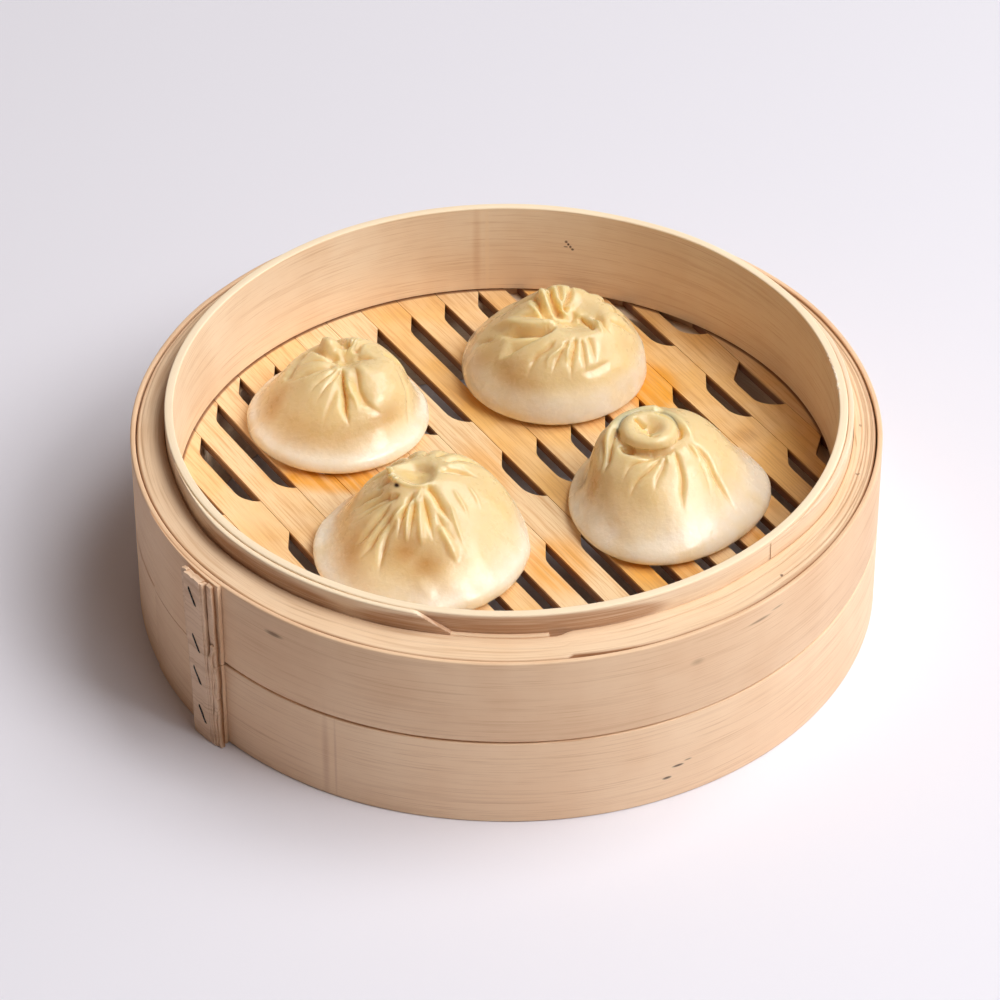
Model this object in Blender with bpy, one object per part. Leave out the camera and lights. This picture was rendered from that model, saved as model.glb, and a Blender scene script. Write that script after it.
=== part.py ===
"""Round bamboo steamer basket with four pleated soup dumplings on its slatted floor.

Sizes are in millimetres and MM turns them into Blender's metres. +Z is up, the origin is the
centre of the basket's base, and the front of the basket faces -Y. Angles are in degrees,
counter-clockwise seen from above, with 0 towards +X.
"""
import math
from collections import namedtuple

import bmesh
import bpy

MM = 0.001
GAP = 0.3                    # clearance between pieces that touch

# ---- hoops -----------------------------------------------------------------------------
RIM_RADIUS = 101.5           # outside of the two outer hoops
HOOP_WALL = 1.4
SEAM_HEIGHT = 27.1           # where the lower and the upper outer hoop meet
RIM_HEIGHT = 53.8            # top of the upper outer hoop
RING_SIDES = 60

LEDGE_DROP = 0.3             # the ledge lies a little below the rim
LEDGE_INNER_RADIUS = 94.4
LEDGE_NOTCH = (-80.7, -66.0, 1.2)   # start, end and depth of the gap past the outer strip's end

INNER_SHIFT = 3.8            # the inner hoop stands this far behind the middle of the rim
INNER_RADIUS = 89.9
INNER_WALL = 2.4
INNER_TOP = 59.2
INNER_LAP_WALL = 1.4         # the inner hoop's second turn of bamboo

FLOOR_TOP = 30.4
SLAT_THICKNESS = 3.0
FLOOR_RADIUS = 93.8
SUPPORT_WALL = 6.0           # hoop under the floor

# ---- slats -----------------------------------------------------------------------------
SLAT_DIRECTION = -58.3
SEAM_FIRST = -82.0           # offset of the first joint between two slats
SEAM_PITCH = 11.27
SEAM_COUNT = 16
SLOT_DEPTH = 4.2             # how far a slot is routed into the side of its slat
LAST_SLOT_DEPTH = 6.5        # the same beside the last joint
SLOT_ROWS = ((-83.0, -31.0), (-15.3, 8.2), (25.3, 77.0))
SLOT_FIELD_RADIUS = 98.0     # the slots end at this circle, which may pass the slat's own end
SLOT_FIELD_SHIFT = 14.0      # how far across the slats the circle's middle lies
SLOT_HEAD = 9.0              # length of a slot's sloping head
SLOT_TAIL = 7.0              # length of its rounded tail
SLOT_MIN_LENGTH = SLOT_HEAD + SLOT_TAIL + 1.0
HEAD_OUTLINE = ((0.0, 0.0), (0.5, 0.75), (1.0, 1.0))    # share of the head, share of the depth
TAIL_OUTLINE = ((1.0, 1.0), (0.65, 0.9), (0.35, 0.55), (0.0, 0.0))   # the same for the tail
END_POINT_SHARE = 0.38       # where a slat's rounded end has its middle point

# ---- strap and staples -----------------------------------------------------------------
STRAP_ANGLE = -141.0
STRAP_TOP_WIDTH = 11.0
STRAP_FOOT_WIDTH = 8.0
STRAP_WALL = 2.0
STRAP_BEVEL = 0.4
HOOP_END_ANGLE = -136.7      # where the outer strip of bamboo ends beside the strap
HOOP_END_WALL = 1.1
HOOP_END_REACH = 21.0        # degrees over which the lapped end thins away
STAPLE_HEIGHTS = (46.5, 34.0, 23.5, 12.0)
STAPLE_LENGTH = 5.0
STAPLE_RADIUS = 0.35
STAPLE_SLANT = 16.0
STAPLE_SIDES = 6

# ---- dumplings -------------------------------------------------------------------------
# A profile row is: reach (share of the radius), height, lean towards the knot, fold weight.
# A crease is: angle, depth, and the share of the way up where it starts.
# A flare is: angle, spread, first and last row it grows over, outward push, upward push.
Dumpling = namedtuple("Dumpling", "name centre radius knot twist profile creases flares")
CREASE_RAMP = 0.35           # share of the way up over which a crease reaches its depth
CREASE_POWER_TOP = 2.0       # how narrow a crease is at the knot
CREASE_POWER_LOW = 4.0       # extra narrowness down the side
TWIST_START = 0.45
CREASE_SHARES = (0.0, 0.3, 0.7)     # columns of vertices between one crease and the next

DUMPLINGS = (
    Dumpling(
        name="dumpling_left", centre=(-46.3, 32.0), radius=26.2, knot=(1.0, 3.0), twist=0,
        profile=(
            (0.90, 0.0, 0.0, 0.0), (0.985, 1.3, 0.0, 0.0), (1.0, 2.4, 0.0, 0.0),
            (0.965, 3.8, 0.0, 0.1), (0.87, 5.2, 0.05, 0.3), (0.74, 7.6, 0.2, 0.7),
            (0.60, 10.8, 0.4, 1.0), (0.45, 14.0, 0.65, 1.0), (0.31, 16.4, 0.9, 1.0),
            (0.20, 17.6, 1.0, 1.0), (0.15, 18.8, 1.0, 1.0), (0.13, 19.8, 1.0, 0.8),
            (0.05, 18.3, 1.0, 0.2),
        ),
        creases=(
            (-85, 2.0, 0.3), (-110, 0.9, 0.4), (-124, 0.9, 0.4), (-143, 0.8, 0.4),
            (-168, 1.4, 0.35), (165, 1.2, 0.4), (135, 1.2, 0.5), (105, 1.6, 0.5),
            (75, 1.2, 0.5), (40, 0.8, 0.5), (0, 0.6, 0.5), (-54, 1.1, 0.3),
        ),
        flares=((80, 45, 8.5, 11.0, 3.0, 2.4), (140, 25, 8.0, 11.0, 2.0, 0.8)),
    ),
    Dumpling(
        name="dumpling_back", centre=(13.6, 53.4), radius=25.9, knot=(0.0, 0.0), twist=35,
        profile=(
            (0.90, 0.0, 0.0, 0.0), (0.985, 1.6, 0.0, 0.0), (1.0, 3.0, 0.0, 0.0),
            (0.985, 5.4, 0.0, 0.1), (0.93, 8.8, 0.1, 0.5), (0.84, 12.0, 0.25, 1.0),
            (0.73, 15.2, 0.45, 1.0), (0.61, 18.2, 0.7, 1.0), (0.49, 20.4, 0.9, 1.0),
            (0.37, 21.6, 1.0, 1.0), (0.25, 21.4, 1.0, 1.0), (0.14, 20.4, 1.0, 0.8),
            (0.04, 19.8, 1.0, 0.3),
        ),
        creases=(
            (-165, 2.0, 0.3), (-131, 2.2, 0.3), (-112, 1.0, 0.35), (-101, 1.0, 0.35),
            (-91, 1.0, 0.35), (-77, 1.1, 0.3), (-61, 1.2, 0.3), (-42, 1.2, 0.35),
            (-22, 1.5, 0.3), (10, 1.5, 0.3), (35, 1.8, 0.4), (62, 2.2, 0.4),
            (90, 2.2, 0.4), (118, 2.2, 0.4), (156, 2.0, 0.3),
        ),
        flares=((95, 40, 6.0, 9.0, 0.5, 3.2),),
    ),
    Dumpling(
        name="dumpling_front", centre=(-23.0, -27.0), radius=28.2, knot=(1.5, 2.5), twist=0,
        profile=(
            (0.90, 0.0, 0.0, 0.0), (0.985, 1.6, 0.0, 0.0), (1.0, 3.0, 0.0, 0.0),
            (0.97, 4.7, 0.0, 0.1), (0.89, 6.8, 0.1, 0.4), (0.77, 10.1, 0.25, 0.9),
            (0.64, 13.8, 0.45, 1.0), (0.51, 17.5, 0.7, 1.0), (0.40, 20.6, 0.9, 1.0),
            (0.32, 22.6, 1.0, 1.0), (0.26, 23.2, 1.0, 0.8), (0.17, 21.6, 1.0, 0.4),
            (0.07, 20.6, 1.0, 0.2),
        ),
        creases=(
            (-178, 1.4, 0.3), (-162, 1.4, 0.3), (-149, 1.3, 0.3), (-136, 1.4, 0.3),
            (-123, 1.4, 0.3), (-112, 1.2, 0.3), (-101, 1.2, 0.3), (-84, 1.4, 0.3),
            (-68, 1.3, 0.3), (-51, 1.0, 0.3), (-20, 0.5, 0.5), (15, 0.6, 0.5),
            (50, 1.0, 0.5), (85, 1.2, 0.4), (115, 1.2, 0.4), (145, 1.2, 0.4), (165, 1.2, 0.4),
        ),
        flares=((165, 25, 8.5, 10.5, 2.0, 0.3),),
    ),
    Dumpling(
        name="dumpling_right", centre=(43.7, -5.1), radius=27.3, knot=(-4.2, 0.5), twist=25,
        profile=(
            (0.90, 0.0, 0.0, 0.0), (0.985, 1.4, 0.0, 0.0), (1.0, 2.8, 0.0, 0.0),
            (0.965, 4.6, 0.0, 0.2), (0.88, 7.0, 0.1, 0.6), (0.76, 10.2, 0.25, 1.0),
            (0.62, 13.9, 0.45, 1.0), (0.48, 17.6, 0.7, 1.0), (0.36, 20.8, 0.9, 1.0),
            (0.28, 22.6, 1.0, 0.9), (0.28, 24.2, 1.0, 0.3), (0.25, 26.2, 1.0, 0.2),
            (0.16, 26.8, 1.0, 0.2), (0.07, 25.4, 1.0, 0.2), (0.03, 23.5, 1.0, 0.1),
        ),
        creases=(
            (-170, 1.2, 0.3), (-148, 1.6, 0.35), (-118, 1.2, 0.25), (-94, 1.0, 0.3),
            (-66, 1.6, 0.2), (-48, 1.0, 0.35), (-34, 1.2, 0.35), (-28, 1.6, 0.15),
            (0, 0.8, 0.45), (30, 1.0, 0.4), (60, 1.0, 0.35), (90, 1.0, 0.35),
            (120, 1.0, 0.35), (155, 1.2, 0.35),
        ),
        flares=(),
    ),
)

# ---- colours ---------------------------------------------------------------------------
BAMBOO_HOOP = ("bamboo_hoop", (0.80, 0.60, 0.38, 1.0), 0.55)
BAMBOO_SLAT = ("bamboo_slat", (0.82, 0.55, 0.24, 1.0), 0.45)
STEEL_WIRE = ("staple_wire", (0.05, 0.05, 0.05, 1.0), 0.5)
DOUGH = ("dumpling_wrapper", (0.90, 0.80, 0.55, 1.0), 0.25)


def clear_scene():
    """Remove every object that the new scene starts with."""
    for old in list(bpy.data.objects):
        bpy.data.objects.remove(old, do_unlink=True)


def material(finish):
    """Return the Principled material for a (name, colour, roughness) finish."""
    name, colour, roughness = finish
    found = bpy.data.materials.get(name)
    if found:
        return found
    made = bpy.data.materials.new(name)
    made.use_nodes = True
    shader = made.node_tree.nodes["Principled BSDF"]
    shader.inputs["Base Color"].default_value = colour
    shader.inputs["Roughness"].default_value = roughness
    shader.inputs["Metallic"].default_value = 1.0 if finish is STEEL_WIRE else 0.0
    return made


def polar(radius, angle, centre=(0.0, 0.0)):
    """Return the plan point at a radius and an angle round a centre."""
    turn = math.radians(angle)
    return centre[0] + radius * math.cos(turn), centre[1] + radius * math.sin(turn)


def smoothstep(value, low, high):
    """Return 0 below low, 1 above high and a smooth rise between them."""
    share = min(max((value - low) / (high - low), 0.0), 1.0)
    return share * share * (3.0 - 2.0 * share)


def add_object(name, mesh_builder, finish, smooth_angle=35.0):
    """Make an object from a finished bmesh whose points are in millimetres."""
    bmesh.ops.recalc_face_normals(mesh_builder, faces=mesh_builder.faces)
    bmesh.ops.scale(mesh_builder, vec=(MM, MM, MM), verts=mesh_builder.verts)
    mesh = bpy.data.meshes.new(name)
    mesh_builder.to_mesh(mesh)
    mesh_builder.free()
    mesh.shade_smooth()
    mesh.set_sharp_from_angle(angle=math.radians(smooth_angle))
    mesh.materials.append(material(finish))
    made = bpy.data.objects.new(name, mesh)
    bpy.context.scene.collection.objects.link(made)
    return made


# ---- bands of bent bamboo --------------------------------------------------------------
Station = namedtuple("Station", "angle inner outer bottom top")


def ring_stations(inner, outer, bottom, top):
    """Return the evenly spaced stations of a plain ring."""
    step = 360.0 / RING_SIDES
    return [Station(step * i, inner, outer, bottom, top) for i in range(RING_SIDES)]


def add_band(name, stations, closed, inner_centre=(0.0, 0.0), outer_centre=(0.0, 0.0)):
    """Bridge rectangular sections round a centre into a ring or an arc of bamboo."""
    builder = bmesh.new()
    sections = []
    for station in stations:
        inner = polar(station.inner, station.angle, inner_centre)
        outer = polar(station.outer, station.angle, outer_centre)
        corners = (
            (*inner, station.bottom), (*outer, station.bottom),
            (*outer, station.top), (*inner, station.top),
        )
        sections.append([builder.verts.new(corner) for corner in corners])
    pairs = list(zip(sections, sections[1:]))
    if closed:
        pairs.append((sections[-1], sections[0]))
    for first, second in pairs:
        for side in range(4):
            after = (side + 1) % 4
            builder.faces.new((first[side], second[side], second[after], first[after]))
    if not closed:
        builder.faces.new(sections[0])
        builder.faces.new(list(reversed(sections[-1])))
    return add_object(name, builder, BAMBOO_HOOP)


def arc_angles(start, end, step=6.0):
    """Return angles from start to end at about the given step."""
    count = max(2, round(abs(end - start) / step))
    return [start + (end - start) * i / count for i in range(count + 1)]


def add_outer_hoops():
    """Add the lower and the upper outer hoop."""
    inner = RIM_RADIUS - HOOP_WALL
    lower_top = SEAM_HEIGHT - GAP / 2
    upper_bottom = SEAM_HEIGHT + GAP / 2
    add_band("outer_hoop_lower", ring_stations(inner, RIM_RADIUS, 0.0, lower_top), True)
    add_band("outer_hoop_upper", ring_stations(inner, RIM_RADIUS, upper_bottom, RIM_HEIGHT), True)


def ledge_outer_radius(angle):
    """Return the ledge's outer radius, which steps in past the end of its outer strip."""
    plain = RIM_RADIUS - HOOP_WALL - GAP
    start, end, depth = LEDGE_NOTCH
    if angle < start or angle > end:
        return plain
    return plain - depth * (end - angle) / (end - start)


def add_ledge():
    """Add the middle ring, whose top is the ledge between the rim and the inner hoop."""
    notch_start = LEDGE_NOTCH[0]
    step = 360.0 / RING_SIDES
    angles = [step * i - 180.0 for i in range(RING_SIDES)] + [notch_start - 0.3, notch_start]
    top = RIM_HEIGHT - LEDGE_DROP
    stations = [
        Station(angle, LEDGE_INNER_RADIUS, ledge_outer_radius(angle), 0.0, top)
        for angle in sorted(angles)
    ]
    add_band("ledge_ring", stations, True, inner_centre=(0.0, INNER_SHIFT))


def add_inner_hoops():
    """Add the inner hoop, its two lapped turns, the filler strip and the floor's support."""
    centre = (0.0, INNER_SHIFT)
    outer = INNER_RADIUS + INNER_WALL
    bottom = FLOOR_TOP + GAP
    hoop = ring_stations(INNER_RADIUS, outer, bottom, INNER_TOP)
    add_band("inner_hoop", hoop, True, centre, centre)

    lap_inner = outer + GAP
    lap_outer = lap_inner + INNER_LAP_WALL
    ledge_top = RIM_HEIGHT - LEDGE_DROP
    lap_bottom = ledge_top - 8.0
    lap = [
        Station(angle, lap_inner, lap_outer, lap_bottom, INNER_TOP - 0.2)
        for angle in arc_angles(-162.0, -105.0)
    ]
    lap.append(Station(-104.4, lap_inner, lap_outer, ledge_top + GAP, INNER_TOP - 0.5))
    lap.append(Station(-98.8, lap_inner, lap_outer, ledge_top + GAP, ledge_top + 2 * GAP))
    add_band("inner_hoop_front_lap", lap, False, centre, centre)

    side = [
        Station(angle, lap_inner, lap_outer, lap_bottom, INNER_TOP - 0.8)
        for angle in arc_angles(-42.0, 32.0)
    ]
    add_band("inner_hoop_side_lap", side, False, centre, centre)

    filler = [
        Station(angle, lap_inner, lap_outer, lap_bottom, ledge_top)
        for angle in arc_angles(-103.5, -83.3)
    ]
    add_band("ledge_filler_strip", filler, False, centre, centre)

    support_outer = FLOOR_RADIUS
    support_top = FLOOR_TOP - SLAT_THICKNESS - GAP
    support = ring_stations(support_outer - SUPPORT_WALL, support_outer, 0.0, support_top)
    add_band("floor_support_hoop", support, True, centre, centre)


# ---- slatted floor ---------------------------------------------------------------------
def slat_to_plan(across, along):
    """Turn a position across and along the slats into a plan point."""
    turn = math.radians(SLAT_DIRECTION)
    along_x, along_y = math.cos(turn), math.sin(turn)
    return across * -along_y + along * along_x, across * along_x + along * along_y


def floor_chord(across, radius):
    """Return where a line along the slats enters and leaves a circle of the floor."""
    turn = math.radians(SLAT_DIRECTION)
    centre_across = INNER_SHIFT * math.cos(turn)
    centre_along = INNER_SHIFT * math.sin(turn)
    offset = across - centre_across
    half = math.sqrt(max(radius * radius - offset * offset, 0.0))
    return centre_along - half, centre_along + half


def slot_spans(seam):
    """Return the start and end of each slot beside a joint between two slats."""
    offset = seam - SLOT_FIELD_SHIFT
    half = math.sqrt(max(SLOT_FIELD_RADIUS * SLOT_FIELD_RADIUS - offset * offset, 0.0))
    spans = []
    for start, end in SLOT_ROWS:
        start = max(start, -half)
        end = min(end, half)
        if end - start > SLOT_MIN_LENGTH:
            spans.append((start, end))
    return spans


def slotted_side(high, depth):
    """Return the far side of a slat from its end back to its start, with its slots."""
    side_start, side_end = floor_chord(high, FLOOR_RADIUS)
    deep_start, deep_end = floor_chord(high - depth, FLOOR_RADIUS)
    spans = slot_spans(high)
    points = []
    if spans[-1][1] < side_end:
        points.append((high, side_end))
    for start, end in reversed(spans):
        if end < side_end:
            for share, part in reversed(TAIL_OUTLINE):
                points.append((high - depth * part, end - SLOT_TAIL * share))
        else:
            points.append((high - depth, deep_end))
        if start > side_start:
            for share, part in reversed(HEAD_OUTLINE):
                points.append((high - depth * part, start + SLOT_HEAD * share))
        else:
            points.append((high - depth, deep_start))
    if spans[0][0] > side_start:
        points.append((high, side_start))
    return points


def slat_outline(low, high, depth):
    """Return the plan outline of one slat, with slots of a depth in its far side or none."""
    low_start, low_end = floor_chord(low, FLOOR_RADIUS)
    high_start, high_end = floor_chord(high, FLOOR_RADIUS)
    middle = low + (high - low) * END_POINT_SHARE
    middle_start, middle_end = floor_chord(middle, FLOOR_RADIUS)
    points = [(low, low_start), (low, low_end), (middle, middle_end)]
    points += slotted_side(high, depth) if depth else [(high, high_end), (high, high_start)]
    points.append((middle, middle_start))
    return [slat_to_plan(*point) for point in points]


def add_prism(name, outline, bottom, top, finish):
    """Extrude a plan outline into a flat piece."""
    builder = bmesh.new()
    base = builder.faces.new([builder.verts.new((x, y, bottom)) for x, y in outline])
    extruded = bmesh.ops.extrude_face_region(builder, geom=[base])
    moved = [item for item in extruded["geom"] if isinstance(item, bmesh.types.BMVert)]
    bmesh.ops.translate(builder, vec=(0.0, 0.0, top - bottom), verts=moved)
    return add_object(name, builder, finish)


def add_floor():
    """Add the slats side by side, from the left of the floor to the right."""
    centre_across = INNER_SHIFT * math.cos(math.radians(SLAT_DIRECTION))
    edge = FLOOR_RADIUS - 1.0
    seams = [SEAM_FIRST + SEAM_PITCH * i for i in range(SEAM_COUNT)]
    sides = [centre_across - edge] + seams + [centre_across + edge]
    for index, (low, high) in enumerate(zip(sides, sides[1:]), start=1):
        low_side = low + GAP / 2
        high_side = high - GAP / 2
        depth = SLOT_DEPTH if high in seams else 0.0
        if high == seams[-1]:
            depth = LAST_SLOT_DEPTH
        outline = slat_outline(low_side, high_side, depth)
        bottom = FLOOR_TOP - SLAT_THICKNESS
        add_prism(f"floor_slat_{index:02d}", outline, bottom, FLOOR_TOP, BAMBOO_SLAT)


# ---- strap, lapped ends and staples ----------------------------------------------------
def lapped_end_stations(bottom, top):
    """Return stations of the outer hoop's lapped end, which thins away behind the strap."""
    inner = RIM_RADIUS + GAP
    stations = []
    for angle in arc_angles(HOOP_END_ANGLE - HOOP_END_REACH, HOOP_END_ANGLE, 3.0):
        share = 1.0 - (HOOP_END_ANGLE - angle) / HOOP_END_REACH
        wall = 0.25 + (HOOP_END_WALL - 0.25) * share
        stations.append(Station(angle, inner, inner + wall, bottom, top))
    return stations


def add_lapped_ends():
    """Add the lapped end of each outer hoop."""
    lower = lapped_end_stations(0.0, SEAM_HEIGHT - GAP / 2)
    upper = lapped_end_stations(SEAM_HEIGHT + GAP / 2, RIM_HEIGHT)
    add_band("outer_hoop_lower_end", lower, False)
    add_band("outer_hoop_upper_end", upper, False)


def strap_point(across, outward, height):
    """Return a point in the strap's own plane: across it, outward from it and up."""
    turn = math.radians(STRAP_ANGLE)
    out_x, out_y = math.cos(turn), math.sin(turn)
    return out_x * outward - out_y * across, out_y * outward + out_x * across, height


def strap_face_distance():
    """Return how far from the basket's axis the strap's inner face lies."""
    return RIM_RADIUS + GAP + HOOP_END_WALL + GAP


def add_strap():
    """Add the upright strap over the lapped ends, a little narrower at its foot."""
    builder = bmesh.new()
    near = strap_face_distance()
    sections = []
    for height, width in ((0.0, STRAP_FOOT_WIDTH), (RIM_HEIGHT, STRAP_TOP_WIDTH)):
        half = width / 2
        corners = (
            (-half, near), (half, near), (half, near + STRAP_WALL), (-half, near + STRAP_WALL),
        )
        sections.append(
            [builder.verts.new(strap_point(x, out, height)) for x, out in corners]
        )
    foot, head = sections
    builder.faces.new(foot)
    builder.faces.new(list(reversed(head)))
    for side in range(4):
        after = (side + 1) % 4
        builder.faces.new((foot[side], head[side], head[after], foot[after]))
    bmesh.ops.bevel(
        builder, geom=builder.edges[:], offset=STRAP_BEVEL, segments=1, affect="EDGES",
    )
    return add_object("joint_strap", builder, BAMBOO_HOOP)


def add_staple(index, height):
    """Add one slanted wire staple lying on the strap."""
    builder = bmesh.new()
    slant = math.radians(STAPLE_SLANT)
    face = strap_face_distance() + STRAP_WALL + GAP + STAPLE_RADIUS
    rims = []
    for end in (-0.5, 0.5):
        reach = STAPLE_LENGTH * end
        rim = []
        for side in range(STAPLE_SIDES):
            turn = 2 * math.pi * side / STAPLE_SIDES
            across = reach * math.sin(slant) + STAPLE_RADIUS * math.cos(turn)
            lift = -reach * math.cos(slant)
            outward = face + STAPLE_RADIUS * math.sin(turn)
            rim.append(builder.verts.new(strap_point(across, outward, height + lift)))
        rims.append(rim)
    first, second = rims
    builder.faces.new(first)
    builder.faces.new(list(reversed(second)))
    for side in range(STAPLE_SIDES):
        after = (side + 1) % STAPLE_SIDES
        builder.faces.new((first[side], second[side], second[after], first[after]))
    return add_object(f"strap_staple_{index}", builder, STEEL_WIRE)


# ---- dumplings -------------------------------------------------------------------------
def crease_depth(crease, rise):
    """Return how deep a crease is at a share of the way up the side."""
    _, depth, start = crease
    return depth * smoothstep(rise, start, min(start + CREASE_RAMP, 1.0))


def flare_push(flares, angle, row):
    """Return the outward and the upward push of the frills at the knot."""
    outward, upward = 0.0, 0.0
    for aim, spread, first, last, push, lift in flares:
        away = (angle - aim + 180.0) % 360.0 - 180.0
        weight = math.exp(-0.5 * (away / spread) ** 2) * smoothstep(row, first, last)
        outward += push * weight
        upward += lift * weight
    return outward, upward


def profile_normal(dumpling, row):
    """Return the outward and upward parts of the profile's normal at a row."""
    rows = dumpling.profile
    before, after = rows[max(row - 1, 0)], rows[min(row + 1, len(rows) - 1)]
    run = (after[0] - before[0]) * dumpling.radius
    climb = after[1] - before[1]
    length = math.hypot(run, climb)
    return climb / length, -run / length


def dumpling_point(dumpling, row, creases, index, share):
    """Return the point of the skin at a profile row, part of the way between two creases."""
    reach, height, lean, weight = dumpling.profile[row]
    rise = row / (len(dumpling.profile) - 1)
    this, following = creases[index], creases[(index + 1) % len(creases)]
    span = (following[0] - this[0]) % 360.0
    angle = this[0] + span * share + dumpling.twist * smoothstep(rise, TWIST_START, 1.0)
    power = CREASE_POWER_TOP + CREASE_POWER_LOW * (1.0 - rise)
    depth = crease_depth(this, rise) * (1.0 - share) + crease_depth(following, rise) * share
    depth *= weight * abs(2.0 * share - 1.0) ** power
    normal_out, normal_up = profile_normal(dumpling, row)
    push_out, push_up = flare_push(dumpling.flares, angle, row)
    radius = reach * dumpling.radius - depth * normal_out + push_out
    level = FLOOR_TOP + GAP + max(height - depth * normal_up + push_up, 0.0)
    centre = (
        dumpling.centre[0] + dumpling.knot[0] * lean,
        dumpling.centre[1] + dumpling.knot[1] * lean,
    )
    return (*polar(radius, angle, centre), level)


def add_dumpling(dumpling):
    """Add one dumpling: rows of skin from the flat base up to the gathered knot."""
    builder = bmesh.new()
    creases = sorted(((angle % 360.0, depth, start) for angle, depth, start in dumpling.creases))
    rows = []
    for row in range(len(dumpling.profile)):
        rows.append([
            builder.verts.new(dumpling_point(dumpling, row, creases, index, share))
            for index in range(len(creases))
            for share in CREASE_SHARES
        ])
    columns = len(rows[0])
    for lower, upper in zip(rows, rows[1:]):
        for column in range(columns):
            after = (column + 1) % columns
            builder.faces.new((lower[column], lower[after], upper[after], upper[column]))
    for rim in (rows[0], rows[-1]):
        level = sum(vertex.co.z for vertex in rim) / columns
        middle_x = sum(vertex.co.x for vertex in rim) / columns
        middle_y = sum(vertex.co.y for vertex in rim) / columns
        hub = builder.verts.new((middle_x, middle_y, level))
        for column in range(columns):
            builder.faces.new((rim[column], rim[(column + 1) % columns], hub))
    return add_object(dumpling.name, builder, DOUGH, smooth_angle=50.0)


def main():
    """Build the basket from the outside in, then set the dumplings on its floor."""
    clear_scene()
    add_outer_hoops()
    add_lapped_ends()
    add_strap()
    for index, height in enumerate(STAPLE_HEIGHTS, start=1):
        add_staple(index, height)
    add_ledge()
    add_inner_hoops()
    add_floor()
    for dumpling in DUMPLINGS:
        add_dumpling(dumpling)


main()
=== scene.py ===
"""Bamboo steamer basket with four pleated soup dumplings, dressed for a close look.

Lengths in the fields are millimetres and MM turns them into metres. Angles are degrees,
counter-clockwise seen from above, with 0 towards +X. The front of the basket faces -Y.
"""

import logging
import math
from dataclasses import dataclass, replace
from enum import Enum
from typing import Optional, Sequence, Union

import bmesh
import bpy
import numpy as np
from mathutils import Matrix, Vector


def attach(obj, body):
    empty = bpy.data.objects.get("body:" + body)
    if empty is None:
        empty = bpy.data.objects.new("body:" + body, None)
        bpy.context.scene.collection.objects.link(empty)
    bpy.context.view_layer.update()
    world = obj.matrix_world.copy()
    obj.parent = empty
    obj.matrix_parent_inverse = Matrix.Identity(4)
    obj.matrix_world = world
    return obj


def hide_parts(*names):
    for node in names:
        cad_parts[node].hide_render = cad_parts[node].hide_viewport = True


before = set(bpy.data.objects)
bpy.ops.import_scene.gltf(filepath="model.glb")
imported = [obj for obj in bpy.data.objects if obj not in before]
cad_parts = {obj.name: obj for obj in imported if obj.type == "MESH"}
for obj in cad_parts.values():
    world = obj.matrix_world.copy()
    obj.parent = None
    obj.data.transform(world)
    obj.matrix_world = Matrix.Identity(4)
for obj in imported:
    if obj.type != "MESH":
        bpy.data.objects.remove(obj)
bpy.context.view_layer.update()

LOG = logging.getLogger("steamer")
MM = 0.001
FULL_TURN = 360.0

# driving sizes of the basket
RIM_RADIUS = 101.5
RIM_HEIGHT = 53.8
LEDGE_TOP = 53.5
SEAM_HEIGHT = 27.1
INNER_SHIFT = 3.8            # the inner hoop and the floor stand this far behind the rim's middle
INNER_CENTRE = (0.0, INNER_SHIFT)
INNER_RADIUS = 89.9
INNER_WALL = 2.4
INNER_TOP = 59.2
FLOOR_TOP = 30.4
FLOOR_RADIUS = 93.8
SLAT_DIRECTION = -58.3

Plan = tuple[float, float]
Triple = tuple[float, float, float]
Array = np.ndarray
Piece = bpy.types.Object
Colour = Triple
Socket = bpy.types.NodeSocket
Value = Union[float, Socket]


# ---- small measures ----
def polar(radius: float, angle: float, centre: Plan = (0.0, 0.0)) -> Plan:
    """Place a plan point.

    Args:
        radius: distance from the centre.
        angle: direction in degrees.
        centre: plan point that the radius starts from.

    Returns:
        The x and y of the point.
    """
    turn = math.radians(angle)
    return centre[0] + radius * math.cos(turn), centre[1] + radius * math.sin(turn)


def smooth(value: Array, low: float, high: float) -> Array:
    """Rise smoothly from 0 at low to 1 at high, value by value."""
    share = np.clip((value - low) / (high - low), 0.0, 1.0)
    return share * share * (3.0 - 2.0 * share)


def turn_between(angle: Array, aim: Union[float, Array]) -> Array:
    """Signed difference of two directions, within half a turn."""
    return (angle - aim + 180.0) % FULL_TURN - 180.0


def bell(distance: Array, width: float) -> Array:
    """Bell curve that is 1 at no distance and falls off over a width."""
    return np.exp(-0.5 * (distance / width) ** 2)


def run_between(first: Array, second: Array, slope_first: Array,
                slope_second: Array, part: Array) -> Array:
    """Run smoothly from one value to the next and keep the slope at both.

    Args:
        first: value at the start.
        second: value at the end.
        slope_first: slope at the start.
        slope_second: slope at the end.
        part: share of the way, from 0 to 1.

    Returns:
        The value at each share.
    """
    square, cube = part ** 2, part ** 3
    return (first * (2 * cube - 3 * square + 1) + slope_first * (cube - 2 * square + part)
            + second * (3 * square - 2 * cube) + slope_second * (cube - square))


def directions_of(points: Array, centre: Plan = (0.0, 0.0)) -> Array:
    """Return the direction of each point from a plan point, in degrees."""
    return np.degrees(np.arctan2(points[:, 1] - centre[1], points[:, 0] - centre[0]))


class Ripple:
    """Soft unevenness made from a few seeded waves."""

    def __init__(self, seed: int, wave: float, count: int = 9) -> None:
        """Draw the waves.

        Args:
            seed: seed of the draw.
            wave: typical length of a wave in millimetres.
            count: how many waves are added up.
        """
        draw = np.random.default_rng(seed)
        directions = draw.normal(size=(count, 3))
        directions /= np.linalg.norm(directions, axis=1, keepdims=True)
        self.steps = directions * (2 * math.pi / wave) * draw.uniform(0.6, 1.7, (count, 1))
        self.phases = draw.uniform(0.0, 2 * math.pi, count)

    def at(self, points: Array) -> Array:
        """Return a height between about -1 and 1 for each point in millimetres."""
        waves = np.sin(points @ self.steps.T + self.phases)
        return waves.sum(axis=1) / math.sqrt(len(self.phases))


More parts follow.
